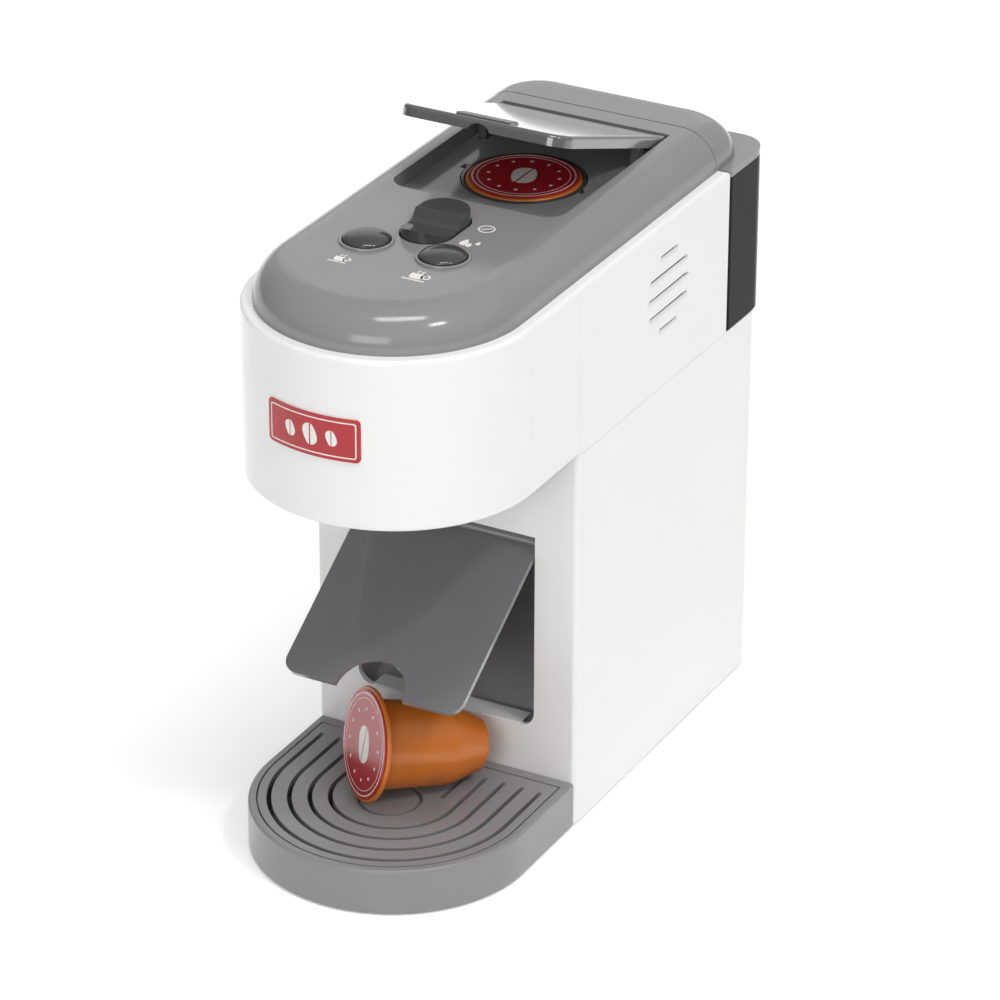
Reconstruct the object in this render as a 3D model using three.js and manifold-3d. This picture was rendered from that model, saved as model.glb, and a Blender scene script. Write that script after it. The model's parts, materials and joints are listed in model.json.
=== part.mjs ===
// Toy capsule coffee maker, in millimetres.
// +X is the machine's right as it faces the child, +Y its back, +Z up.
// The origin is on the table under the middle of the footprint.
// Inside the machine group, y = 0 is the front face of the column.

import * as THREE from 'three';
import { mergeVertices } from 'three/addons/utils/BufferGeometryUtils.js';
import Module from 'manifold-3d';

const wasm = await Module();
wasm.setup();

// Counts and angles
const arc_steps = 32;
const corner_steps = 6;
const round_steps = 32;
const small_round_steps = 16;
const tiny_round_steps = 8;
const fillet_steps = 4;
const quarter_turn = Math.PI / 2;
const lid_open_angle = THREE.MathUtils.degToRad(20);
const flap_open_angle = THREE.MathUtils.degToRad(56.5);

// Widths, from the capsule bay outwards
const bay_half = 35.2;
const bay_rim = 0.35;
const dome_rise = 15.05;
const deck_step = 4.4;
const wall = 2.2;
const hand_gap = 0.3;
const pin_radius = 1.2;
const pin_play = 0.1;
const overrun = 5;
const pin_hole_radius = pin_radius + pin_play;
const deck_half = bay_half + bay_rim + dome_rise;
const half_width = deck_half + deck_step;
const inner_half = half_width - wall;

// Whole machine
const column_depth = 153.8;
const head_reach = 90.8;
const tray_lip = 2.8;
const foot_height = 1.5;
const split_height = 155;
const head_gap = 0.6;
const upper_height = 66.25;
const tray_reach = head_reach + tray_lip;
const head_bottom = split_height + head_gap;
const rim_height = split_height + upper_height;
const deck_top = rim_height + dome_rise;
const head_centre_y = half_width - head_reach;

// Capsules
const capsule_rim_radius = 21.7;
const capsule_rim_thickness = 1.6;
const capsule_rim_width = 4.5;
const capsule_taper = 2;
const capsule_shoulder = 5.2;
const capsule_waist_depth = 33;
const capsule_end_depth = 13;
const capsule_wall = 1.2;
const capsule_stand = 1.2;
const capsule_label_margin = 1.3;
const capsule_label_thickness = 0.6;
const capsule_neck_radius = capsule_rim_radius - capsule_rim_width;
const capsule_waist_radius = capsule_neck_radius - capsule_taper;
const capsule_end_radius = capsule_waist_radius - capsule_shoulder;
const capsule_length = capsule_waist_depth + capsule_end_depth;
const capsule_label_radius = capsule_rim_radius - capsule_label_margin;

// Capsule bay, carrier, sleeve and drop tube
const bay_front = 19.5;
const bay_back_rim = 7.9;
const bay_depth = 6.3;
const bay_corner = 8;
const bay_back_corner = 2;
const capsule_y = 60.3;
const hole_notch = 2.2;
const carrier_rim_wall = 1.3;
const carrier_height = 16;
const sleeve_gap = 0.5;
const sleeve_flange_width = 4;
const sleeve_length = 52;
const bay_floor = deck_top - bay_depth;
const capsule_top = bay_floor + capsule_stand;
const carrier_radius = capsule_rim_radius + hand_gap + carrier_rim_wall;
const carrier_bore = capsule_neck_radius + 2 * hand_gap;
const carrier_hole_radius = carrier_radius + hand_gap;
const carrier_bottom = bay_floor - carrier_height;
const carrier_top = bay_floor + hand_gap;
const sleeve_bore = carrier_radius + sleeve_gap;
const sleeve_radius = sleeve_bore + wall;
const sleeve_flange_radius = sleeve_radius + sleeve_flange_width;
const sleeve_bottom = bay_floor - sleeve_length;

// Column and its front recess
const front_corner = 2;
const rear_corner = 12;
const recess_side = 17.5;
const recess_bottom = 38.2;
const recess_lintel = 37;
const recess_corner = 6;
const mouth_margin = 1.9;
const ramp_start = 12;
const ramp_rise = 40;
const shelf_thickness = 2.2;
const post_radius = 4;
const post_height = 20;
const post_front_y = 20;
const post_back_inset = 27.2;
const recess_half = half_width - recess_side;
const recess_top = split_height - recess_lintel;
const recess_depth = capsule_y + sleeve_bore + mouth_margin;
const post_rear_y = column_depth - post_back_inset;
const post_x = inner_half - post_radius + 0.2 * wall;

// Base and battery well
const base_thickness = 2.5;
const cell_radius = 7.1;
const cell_length = 50;
const cell_gap = 0.8;
const cell_count = 3;
const contact_thickness = 0.6;
const door_thickness = 2;
const door_rim = 2.4;
const well_wall = 1.6;
const well_front_y = 65.8;
const foot_radius = 6;
const foot_inset = 17;
const foot_front_y = 12;
const foot_back_inset = 14.2;
const screw_radius = 1.4;
const screw_head_radius = 3;
const screw_head_thickness = 1.2;
const screw_length = 12;
const cell_pitch = 2 * cell_radius + cell_gap;
const foot_x = half_width - foot_inset;
const foot_rear_y = column_depth - foot_back_inset;

// Water tank and its lid
const tank_depth = 32.5;
const tank_overhang = 2.4;
const tank_gap = 0.2;
const tank_flange = 2.95;
const tank_wall = 2;
const tank_lid_overlap = 2.5;
const tank_dome_inset = 8.7;
const tank_dome_corner = 18;
const tank_plug_depth = 5;
const tank_plug_wall = 1.8;
const valve_inset = 14.7;
const valve_radius = 4.4;
const valve_flange_width = 2.6;
const valve_flange_thickness = 1.6;
const valve_length = 12;
const socket_flange_width = 2.6;
const socket_thickness = 3;
const socket_wall = 2;
const socket_length = 17;
const tank_front = column_depth - tank_depth;
const tank_back = column_depth + tank_overhang;
const tank_bottom = split_height + tank_gap;
const tank_top = rim_height - tank_flange;
const tank_lid_front = tank_front - tank_lid_overlap;
const tank_dome_back = tank_back - tank_dome_inset;
const valve_y = tank_front + valve_inset;
const valve_flange_radius = valve_radius + valve_flange_width;
const socket_radius = valve_radius + socket_thickness;
const socket_flange_radius = socket_radius + socket_flange_width;

// Upper housing and head
const ledge_width = 8.3;
const ledge_thickness = 2.5;
const rib_depth = 1.5;
const panel_thickness = 2.2;
const vent_height = 2.6;
const vent_pitch = 7.3;
const vent_middle_y = 71;
const vent_drop = 28.25;
const vent_lengths = [14.5, 31, 33, 31, 14.5];
const speaker_radius = 14;
const speaker_thickness = 6;
const speaker_ring = 1.8;
const label_offset_x = -3;
const label_width = 38;
const label_drop = 22.85;
const label_height = 16.4;
const label_thickness = 0.9;
const label_seat = 0.1;
const bulkhead_back = tank_front - hand_gap;
const vent_middle_z = rim_height - vent_drop;
const label_top = rim_height - label_drop;

// Deck cover
const deck_skin = 2.2;
const deck_back = tank_lid_front - hand_gap;
const bay_back = deck_back - bay_back_rim;

// Capsule lid
const lid_side_gap = 0.8;
const lid_barrel_gap = 0.5;
const lid_back_gap = 0.55;
const lid_front_gap = 0.5;
const lid_tail = 0.8;
const lid_floor_gap = 1.9;
const lid_skin = 2;
const lid_corner = 8;
const lid_edge = 2;
const lid_barrel_radius = 2.85;
const lid_arm_radius = 18;
const lid_arm_height = 5;
const lid_arm_width = 3;
const lid_arm_inset = 2.6;
const lid_arm_sweep = THREE.MathUtils.degToRad(75);
const arm_slot_gap = 1;
const finger_notch_radius = 5.5;
const grip_length = 22;
const grip_width = 7;
const grip_height = 0.5;
const grip_setback = 2.6;
const grip_rib_count = 4;
const press_ring_radius = 16;
const press_ring_wall = 2;
const lid_skirt = bay_depth - lid_floor_gap;
const lid_half = bay_half - lid_side_gap;
const lid_pivot_y = bay_back - lid_back_gap - lid_barrel_radius;
const lid_pivot_z = bay_floor + lid_barrel_gap + lid_barrel_radius;
const lid_reach = lid_pivot_y - bay_front - lid_front_gap;
const lid_arm_x = lid_half - lid_arm_inset;

// Eject flap
const flap_side_gap = 0.5;
const flap_pivot_y = 4.6;
const flap_pivot_drop = 3.6;
const flap_sill_gap = 0.5;
const flap_thickness = 2;
const flap_offset = 1;
const flap_barrel_radius = 2.4;
const flap_corner = 6;
const flap_notch_radius = 14;
const flap_half = recess_half - flap_side_gap;
const flap_pivot_z = recess_top - flap_pivot_drop;
const flap_reach = flap_pivot_z - recess_bottom - flap_sill_gap;

// Buttons, rocker and board
const button_x = 15.5;
const rocker_bay_gap = 10.5;
const button_radius = 8.5;
const button_flange_width = 1.9;
const button_flange_thickness = 1.2;
const button_rise = 3.4;
const button_dome = 2.2;
const bezel_width = 1.6;
const bezel_height = 1;
const bezel_wall = 0.4;
const rocker_half = 9.7;
const button_offset = 6.8;
const rocker_length = 31;
const rocker_rise = 5.3;
const rocker_dish_drop = 2.2;
const rocker_dish_radius = 16;
const rocker_dish_depth = 1.3;
const rocker_edge = 1;
const rocker_pivot_drop = 4.8;
const rocker_sink = 7.3;
const rocker_play = 0.6;
const rocker_lug_gap = 1.6;
const lug_thickness = 2;
const lug_half = 3;
const board_half = 32;
const board_margin_front = 21.2;
const board_margin_back = 3;
const board_drop = 12.3;
const board_thickness = 1.6;
const board_post_radius = 3;
const board_post_side = 5;
const board_post_end = 6;
const switch_size = 6.4;
const switch_height = 4;
const plunger_radius = 1.7;
const plunger_height = 2.8;
const rocker_switch_length = 12;
const rocker_back = bay_front - rocker_bay_gap;
const rocker_front = rocker_back - rocker_length;
const button_y = rocker_front - button_offset;
const button_flange_radius = button_radius + button_flange_width;
const bezel_radius = button_radius + bezel_width;
const rocker_pivot_z = deck_top - rocker_pivot_drop;
const rocker_bottom = deck_top - rocker_sink;
const board_front = button_y - board_margin_front;
const board_back = rocker_back + board_margin_back;
const board_top = deck_top - board_drop;
const board_post_x = board_half - board_post_side;
const board_post_front = board_front + board_post_end;
const board_post_back = board_back - board_post_end;

// Pump, hoses and nozzle
const pump_gap = 2;
const pump_rear_inset = 18.2;
const pump_length = 39;
const pump_post_gap = 1.24;
const pump_height = 20;
const nipple_radius = 2;
const nipple_height = 6;
const outlet_inset = 6;
const inlet_inset = 23;
const hose_radius = 2.5;
const hose_side_gap = 4.3;
const hose_drop = 19.25;
const nozzle_offset = 6.7;
const nozzle_radius = 8;
const nozzle_taper = 1.6;
const nozzle_flange_width = 4;
const nozzle_flange_thickness = 2;
const nozzle_drop = 6;
const nozzle_height = 9;
const pump_back = column_depth - pump_rear_inset;
const pump_front = pump_back - pump_length;
const pump_outlet_y = pump_front + outlet_inset;
const pump_inlet_y = pump_front + inlet_inset;
const nozzle_y = head_centre_y - nozzle_offset;
const nozzle_tip_radius = nozzle_radius - nozzle_taper;
const nozzle_flange_radius = nozzle_radius + nozzle_flange_width;

// Drip tray and grille
const tray_side_gap = 0.5;
const tray_top = 18.9;
const tray_back = -hand_gap;
const tray_floor = 2.2;
const tray_edge = 1.2;
const tray_rim = 3.4;
const grille_back_rim = 4.6;
const grille_thickness = 2.4;
const grille_play = 0.35;
const grille_ledge = 2;
const slot_width = 2.3;
const slot_pitch = 7.6;
const slot_margin = 4.4;
const slot_ring_count = 4;
const slot_back_margin = 7.5;
const short_slot_shares = [0.875, 1.425];
const cup_ring_radius = 12;
const cup_ring_width = 0.9;
const cup_ring_depth = 0.8;
const tray_half = half_width - tray_side_gap;
const grille_half = tray_half - tray_rim;
const grille_back = tray_back - grille_back_rim;
const slot_outer_radius = grille_half - slot_margin;
const slot_start_y = grille_back - slot_back_margin;
const cup_ring_y = nozzle_y;

// The capsule that has come out lies on its side on the grille, so its rim and its waist touch it
const spent_x = -9.4;
const spent_gap = 2.5;
const spent_turn = THREE.MathUtils.degToRad(-40);
const spent_y = -spent_gap - capsule_length * Math.cos(spent_turn)
  + capsule_end_radius * Math.sin(spent_turn);
const spent_lean = Math.asin((capsule_rim_radius - capsule_waist_radius) / capsule_waist_depth);

// Finishes
const finish = (color, roughness, metalness = 0) =>
  new THREE.MeshStandardMaterial({ color, roughness, metalness });
const white = finish(0xf1f1ef, 0.35);
const grey = finish(0x8c8a8d, 0.4);
const dark = finish(0x46464a, 0.3);
const smoke = finish(0x2b2b2e, 0.15);
const pale = finish(0xe6e4e6, 0.25);
const orange = finish(0xc96f26, 0.35);
const red = finish(0xae1f2a, 0.4);
const black = finish(0x1d1d1f, 0.6);
const steel = finish(0xb9bcc0, 0.25, 1);
const board_green = finish(0x2f6b45, 0.5);

const machine = new THREE.Group();
machine.position.y = (tray_reach - tank_back) / 2;

// Solids: closed geometries that can be joined and cut

function toSolid(geometry) {
  const bare = geometry.index ? geometry.clone() : geometry;
  bare.deleteAttribute('normal');
  bare.deleteAttribute('uv');
  const merged = mergeVertices(bare, 1e-4);
  const vertProperties = new Float32Array(merged.attributes.position.array);
  const triVerts = new Uint32Array(merged.index.array);
  const point = (vertex) => new THREE.Vector3().fromArray(vertProperties, vertex * 3);
  let volume = 0;
  for (let corner = 0; corner < triVerts.length; corner += 3) {
    const [a, b, c] = [0, 1, 2].map((step) => point(triVerts[corner + step]));
    volume += a.dot(b.cross(c));
  }
  if (volume < 0) triVerts.reverse();
  return new wasm.Manifold(new wasm.Mesh({ numProp: 3, vertProperties, triVerts }));
}

function toGeometry(solid) {
  const mesh = solid.getMesh();
  const geometry = new THREE.BufferGeometry();
  geometry.setAttribute('position', new THREE.BufferAttribute(mesh.vertProperties, mesh.numProp));
  geometry.setIndex(new THREE.BufferAttribute(mesh.triVerts, 1));
  geometry.computeVertexNormals();
  return geometry;
}

const join = (...solids) => solids.reduce((whole, part) => whole.add(part));
const cut = (whole, ...tools) => tools.reduce((rest, tool) => rest.subtract(tool), whole);
const mirrored = (make) => [make(-1), make(1)];

function block(x0, x1, y0, y1, z0, z1) {
  const box = new THREE.BoxGeometry(x1 - x0, y1 - y0, z1 - z0);
  return toSolid(box.translate((x0 + x1) / 2, (y0 + y1) / 2, (z0 + z1) / 2));
}

function extrusion(outline, from, to) {
  const shape = new THREE.Shape(outline);
  const body = new THREE.ExtrudeGeometry(shape, { depth: to - from, bevelEnabled: false });
  return body.translate(0, 0, from);
}

// A level outline pulled up from z0 to z1
const prism = (outline, z0, z1) => toSolid(extrusion(outline, z0, z1));

// An outline in x and z pulled back from y0 to y1
const frontPrism = (outline, y0, y1) => toSolid(extrusion(outline, -y1, -y0).rotateX(quarter_turn));

// An outline in y and z pulled across from x0 to x1
const sidePrism = (outline, x0, x1) =>
  toSolid(extrusion(outline, x0, x1).rotateX(quarter_turn).rotateZ(quarter_turn));

// A cylinder standing on (x, y, z0)
function post(x, y, radius, z0, z1, steps = round_steps) {
  const body = new THREE.CylinderGeometry(radius, radius, z1 - z0, steps);
  return toSolid(body.rotateX(quarter_turn).translate(x, y, (z0 + z1) / 2));
}

// A cylinder along X
function rod(x0, x1, y, z, radius, steps = small_round_steps) {
  const body = new THREE.CylinderGeometry(radius, radius, x1 - x0, steps);
  return toSolid(body.rotateZ(quarter_turn).translate((x0 + x1) / 2, y, z));
}

// A cylinder along Y
function barrel(x, y0, y1, z, radius, steps = round_steps) {
  const body = new THREE.CylinderGeometry(radius, radius, y1 - y0, steps);
  return toSolid(body.translate(x, (y0 + y1) / 2, z));
}

// A profile of [radius, height] pairs turned about a vertical axis through (x, y)
function turned(x, y, profile, steps = round_steps) {
  const points = profile.map(([radius, height]) => new THREE.Vector2(radius, height));
  const body = new THREE.LatheGeometry(points, steps);
  return toSolid(body.rotateX(quarter_turn).translate(x, y, 0));
}

// A closed ring profile: outer and inner radius between two heights
const ring = (x, y, inner, outer, z0, z1, steps = round_steps) =>
  turned(x, y, [[inner, z0], [outer, z0], [outer, z1], [inner, z1], [inner, z0]], steps);

// A body through several level outlines, all with the same number of points
function loft(levels) {
  const count = levels[0].outline.length;
  const positions = levels.flatMap(({ outline, z }) => outline.flatMap(({ x, y }) => [x, y, z]));
  const faces = [];
  for (let level = 0; level + 1 < levels.length; level += 1) {
    for (let side = 0; side < count; side += 1) {
      const a = level * count + side;
      const b = level * count + ((side + 1) % count);
      faces.push(a, b, b + count, a, b + count, a + count);
    }
  }
  const last = (levels.length - 1) * count;
  const cap = (outline) => THREE.ShapeUtils.triangulateShape(outline, []);
  for (const [a, b, c] of cap(levels[0].outline)) faces.push(c, b, a);
  for (const [a, b, c] of cap(levels.at(-1).outline)) faces.push(last + a, last + b, last + c);
  const geometry = new THREE.BufferGeometry();
  geometry.setAttribute('position', new THREE.Float32BufferAttribute(positions, 3));
  geometry.setIndex(faces);
  return toSolid(geometry);
}

function tube(points, radius, steps) {
  const section = new THREE.Shape();
  section.absarc(0, 0, radius, 0, 2 * Math.PI);
  const path = new THREE.CatmullRomCurve3(points.map((place) => new THREE.Vector3(...place)));
  const options = { steps, curveSegments: tiny_round_steps / 2, extrudePath: path };
  return toSolid(new THREE.ExtrudeGeometry(section, options));
}

// Outlines, counter-clockwise seen from above

function arc(cx, cy, radius, from, to, steps) {
  const points = [];
  for (let step = 0; step <= steps; step += 1) {
    const angle = from + ((to - from) * step) / steps;
    points.push(new THREE.Vector2(cx + radius * Math.cos(angle), cy + radius * Math.sin(angle)));
  }
  return points;
}

// Straight sides and a flat back with a half-round front
const dOutline = (half, centre_y, back) => [
  ...arc(0, centre_y, half, Math.PI, 2 * Math.PI, arc_steps),
  new THREE.Vector2(half, back),
  new THREE.Vector2(-half, back),
];

// A rectangle with rounded front and rear corners
function roundedOutline(half, front, back, front_round, back_round) {
  const limit = (back - front) / 2;
  const front_radius = Math.min(front_round, limit);
  const back_radius = Math.min(back_round, limit);
  return [
    ...arc(front_radius - half, front + front_radius, front_radius,
      Math.PI, 3 * quarter_turn, corner_steps),
    ...arc(half - front_radius, front + front_radius, front_radius,
      3 * quarter_turn, 4 * quarter_turn, corner_steps),
    ...arc(half - back_radius, back - back_radius, back_radius, 0, quarter_turn, corner_steps),
    ...arc(back_radius - half, back - back_radius, back_radius, quarter_turn, Math.PI, corner_steps),
  ];
}

const stadium = (half, front, back) => [
  ...arc(0, front + half, half, Math.PI, 2 * Math.PI, arc_steps / 2),
  ...arc(0, back - half, half, 0, Math.PI, arc_steps / 2),
];

// Level outlines that round a top edge over: full width up to base, drawn in towards top
function roundedTop(outline_at, bottom, base, top) {
  const levels = [{ outline: outline_at(0), z: bottom }];
  const radius = top - base;
  for (let step = 0; step <= fillet_steps; step += 1) {
    const angle = (quarter_turn * step) / fillet_steps;
    levels.push({
      outline: outline_at(radius * (1 - Math.cos(angle))),
      z: base + radius * Math.sin(angle),
    });
  }
  return levels;
}

function add(name, solid, material, parent = machine) {
  const mesh = new THREE.Mesh(toGeometry(solid), material);
  mesh.name = name;
  parent.add(mesh);
  return mesh;
}

// Column

const columnOutline = (inset) =>
  roundedOutline(half_width - inset, inset, column_depth - inset,
    Math.max(front_corner - inset, inset / 4), rear_corner - inset);

const screwPlaces = [post_front_y, post_rear_y].flatMap((y) => [-1, 1].map((side) => [side * post_x, y]));
const base_top = foot_height + base_thickness;

function lowerHousing() {
  const shell = cut(prism(columnOutline(0), foot_height, split_height),
    prism(columnOutline(wall), foot_height - overrun, split_height + overrun));
  const shelf = block(-inner_half - wall / 2, inner_half + wall / 2, bulkhead_back - wall,
    column_depth - wall / 2, split_height - shelf_thickness, split_height);
  const shelf_inside = prism(columnOutline(wall / 2), split_height - shelf_thickness, split_height);
  const recess = frontPrism(recessOutline(), -overrun, wall + overrun);
  const posts = screwPlaces.map(([x, y]) => post(x, y, post_radius, base_top, base_top + post_height,
    small_round_steps));
  const bores = screwPlaces.map(([x, y]) => post(x, y, screw_radius + hand_gap, base_top - overrun,
    base_top + screw_length, tiny_round_steps));
  const socket_hole = post(0, valve_y, socket_radius + hand_gap, split_height - overrun,
    split_height + overrun);
  return cut(join(shell, shelf.intersect(shelf_inside), ...posts), recess, ...bores, socket_hole);
}

// The front recess as an outline in x and z
const recessOutline = () => [
  ...arc(recess_corner - recess_half, recess_bottom + recess_corner, recess_corner,
    Math.PI, 3 * quarter_turn, corner_steps),
  ...arc(recess_half - recess_corner, recess_bottom + recess_corner, recess_corner,
    3 * quarter_turn, 4 * quarter_turn, corner_steps),
  new THREE.Vector2(recess_half, recess_top),
  new THREE.Vector2(-recess_half, recess_top),
];

const liner_floor = recess_bottom - wall;

function chuteLiner() {
  const outer = block(-recess_half - wall, recess_half + wall, wall, wall + recess_depth,
    liner_floor - wall, recess_top + wall);
  const hollow = block(-recess_half, recess_half, wall - overrun, recess_depth, liner_floor, recess_top);
  const ramp_outline = [
    new THREE.Vector2(ramp_start, liner_floor - wall / 2),
    new THREE.Vector2(recess_depth + wall / 2, liner_floor - wall / 2),
    new THREE.Vector2(recess_depth + wall / 2, liner_floor + ramp_rise),
  ];
  const ramp = sidePrism(ramp_outline, -recess_half - wall / 2, recess_half + wall / 2);
  const mouth = post(0, capsule_y, sleeve_bore, recess_top - overrun, recess_top + overrun);
  const pin_holes = rod(-half_width, half_width, flap_pivot_y, flap_pivot_z, pin_hole_radius);
  return cut(join(cut(outer, hollow), ramp), mouth, pin_holes);
}

add('lower_housing', lowerHousing(), white);
add('chute_liner', chuteLiner(), dark);

// Base, battery well, door, cells, feet and screws

const cell_axis_z = foot_height + door_thickness + hand_gap + cell_radius;
const well_half = ((cell_count - 1) * cell_pitch) / 2 + cell_radius + hand_gap;
const cell_front_y = well_front_y + 2 * hand_gap + contact_thickness;
const cell_back_y = cell_front_y + cell_length;
const well_back_y = cell_back_y + 2 * hand_gap + contact_thickness;
const well_top = cell_axis_z + cell_radius + hand_gap;
const door_screw_y = well_front_y - door_rim - screw_head_radius;

function basePlate() {
  const plate = prism(columnOutline(wall + hand_gap), foot_height, base_top);
  const well = block(-well_half - well_wall, well_half + well_wall, well_front_y - well_wall,
    well_back_y + well_wall, foot_height, well_top + well_wall);
  const well_space = block(-well_half, well_half, well_front_y, well_back_y,
    foot_height - overrun, well_top);
  const door_space = block(-well_half - door_rim + well_wall, well_half + door_rim - well_wall,
    door_screw_y - screw_head_radius - door_rim, well_back_y, foot_height - overrun,
    foot_height + door_thickness);
  const holes = screwPlaces.flatMap(([x, y]) => [
    post(x, y, screw_radius + hand_gap, foot_height - overrun, base_top + overrun, tiny_round_steps),
    post(x, y, screw_head_radius + hand_gap, foot_height - overrun,
      foot_height + screw_head_thickness + hand_gap, small_round_steps),
  ]);
  const door_boss = post(0, door_screw_y, post_radius, foot_height + door_thickness,
    base_top + screw_length, small_round_steps);
  const door_bore = post(0, door_screw_y, screw_radius + hand_gap, foot_height,
    base_top + screw_length - wall, tiny_round_steps);
  return cut(join(plate, well, door_boss), well_space, door_space, door_bore, ...holes);
}

function batteryDoor() {
  const half = well_half + door_rim - well_wall - hand_gap;
  const front = door_screw_y - screw_head_radius - door_rim + hand_gap;
  const panel = prism(roundedOutline(half, front, well_back_y - hand_gap, bezel_wall, bezel_wall),
    foot_height, foot_height + door_thickness);
  const hole = post(0, door_screw_y, screw_radius + hand_gap, foot_height - overrun, base_top,
    tiny_round_steps);
  const seat = post(0, door_screw_y, screw_head_radius + hand_gap, foot_height - overrun,
    foot_height + screw_head_thickness, small_round_steps);
  return cut(panel, hole, seat);
}

function screw(x, y) {
  const head_top = foot_height + screw_head_thickness - hand_gap / 2;
  const head_bottom_z = head_top - screw_head_thickness + hand_gap / 2;
  const slot = block(x - screw_head_radius, x + screw_head_radius, y - hand_gap, y + hand_gap,
    foot_height - overrun, foot_height + hand_gap);
  return cut(turned(x, y, [
    [0, head_bottom_z],
    [screw_head_radius, head_bottom_z],
    [screw_head_radius, head_top],
    [screw_radius, head_top],
    [screw_radius, head_top + screw_length - wall - hand_gap],
    [0, head_top + screw_length - wall - hand_gap],
  ], small_round_steps), slot);
}

function contactStrip(y0) {
  return block(-well_half + hand_gap, well_half - hand_gap, y0, y0 + contact_thickness,
    foot_height + door_thickness + hand_gap, well_top - hand_gap);
}

add('base_plate', basePlate(), white);
add('battery_door', batteryDoor(), white);
for (let cell = 0; cell < cell_count; cell += 1) {
  const x = (cell - (cell_count - 1) / 2) * cell_pitch;
  add(`battery_cell_${cell + 1}`,
    barrel(x, cell_front_y, cell_back_y, cell_axis_z, cell_radius, small_round_steps), black);
}
add('battery_contact_front', contactStrip(well_front_y + hand_gap), steel);
add('battery_contact_rear', contactStrip(cell_back_y + hand_gap), steel);
add('battery_door_screw', screw(0, door_screw_y), steel);
screwPlaces.forEach(([x, y], index) => add(`base_screw_${index + 1}`, screw(x, y), steel));
[foot_front_y, foot_rear_y].flatMap((y) => [-foot_x, foot_x].map((x) => [x, y]))
  .forEach(([x, y], index) => add(`foot_${index + 1}`,
    post(x, y, foot_radius, 0, foot_height, small_round_steps), black));

// Upper housing with its vents and speaker ring

function ventSlots(side) {
  const first = (vent_lengths.length - 1) / 2;
  return join(...vent_lengths.map((length, row) => {
    const z = vent_middle_z + (first - row) * vent_pitch;
    const radius = vent_height / 2;
    const reach = length / 2 - radius;
    const x0 = side * half_width - overrun;
    const x1 = side * half_width + overrun;
    const middle = block(x0, x1, vent_middle_y - reach, vent_middle_y + reach, z - radius, z + radius);
    const ends = [-reach, reach].map((y) => rod(x0, x1, vent_middle_y + y, z, radius,
      tiny_round_steps));
    return join(middle, ...ends);
  }));
}

const speaker_face = inner_half - hand_gap;
const speaker_ring_inner = speaker_radius + hand_gap;

function upperHousing() {
  const bulkhead_front = bulkhead_back - wall;
  const walls = mirrored((side) => block(Math.min(side * inner_half, side * half_width),
    Math.max(side * inner_half, side * half_width), 0, bulkhead_back, split_height, rim_height));
  const bulkhead = block(-half_width, half_width, bulkhead_front, bulkhead_back, split_height,
    rim_height);
  const ledge = cut(
    block(-half_width, half_width, 0, bulkhead_back, rim_height - ledge_thickness, rim_height),
    block(-half_width + ledge_width, half_width - ledge_width, -overrun,
      deck_back - deck_skin - wall, rim_height - overrun, rim_height + overrun));
  const holder = cut(
    rod(inner_half - speaker_thickness + wall / 2, inner_half + wall / 2, vent_middle_y,
      vent_middle_z, speaker_ring_inner + speaker_ring, round_steps),
    rod(0, half_width, vent_middle_y, vent_middle_z, speaker_ring_inner, round_steps));
  return cut(join(...walls, bulkhead, ledge, holder), ...mirrored(ventSlots));
}

function headFrontShell() {
  const shell = cut(prism(dOutline(half_width, head_centre_y, 0), head_bottom, rim_height),
    prism(dOutline(inner_half, head_centre_y, overrun), head_bottom - overrun, rim_height + overrun));
  const ledge = cut(
    prism(dOutline(half_width, head_centre_y, 0), rim_height - ledge_thickness, rim_height),
    prism(dOutline(half_width - ledge_width, head_centre_y, overrun), rim_height - overrun,
      rim_height + overrun));
  const rib_bottom = head_bottom + panel_thickness;
  const rib = cut(
    prism(dOutline(half_width - wall / 2, head_centre_y, 0), rib_bottom, rib_bottom + rib_depth),
    prism(dOutline(inner_half - rib_depth, head_centre_y, overrun), rib_bottom - overrun,
      rib_bottom + overrun));
  return join(shell, ledge, rib);
}

function headUnderside() {
  const panel = prism(dOutline(inner_half - hand_gap, head_centre_y, -hand_gap), head_bottom,
    head_bottom + panel_thickness);
  return cut(panel, post(0, nozzle_y, nozzle_radius + hand_gap, head_bottom - overrun,
    head_bottom + overrun));
}

function labelPlate() {
  const inner = half_width + label_seat;
  const outer = inner + label_thickness;
  const middle = -quarter_turn + label_offset_x / half_width;
  const half_angle = label_width / (2 * half_width);
  return prism([
    ...arc(0, head_centre_y, outer, middle - half_angle, middle + half_angle, corner_steps),
    ...arc(0, head_centre_y, inner, middle + half_angle, middle - half_angle, corner_steps),
  ], label_top - label_height, label_top);
}

add('upper_housing', upperHousing(), white);
add('head_front_shell', headFrontShell(), white);
add('head_underside', headUnderside(), grey);
add('label_plate', labelPlate(), red);
add('speaker', rod(speaker_face - speaker_thickness, speaker_face, vent_middle_y, vent_middle_z,
  speaker_radius, round_steps), black);

// Deck cover: a hollow dome with the capsule bay, button holes, rocker opening and posts

const bayOutline = (growth) => roundedOutline(bay_half + growth, bay_front - growth,
  bay_back + growth, bay_corner + growth, bay_back_corner + growth);
const rocker_pivot_y = (rocker_front + rocker_back) / 2;
const rocker_lug_x = rocker_half + rocker_lug_gap;

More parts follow.
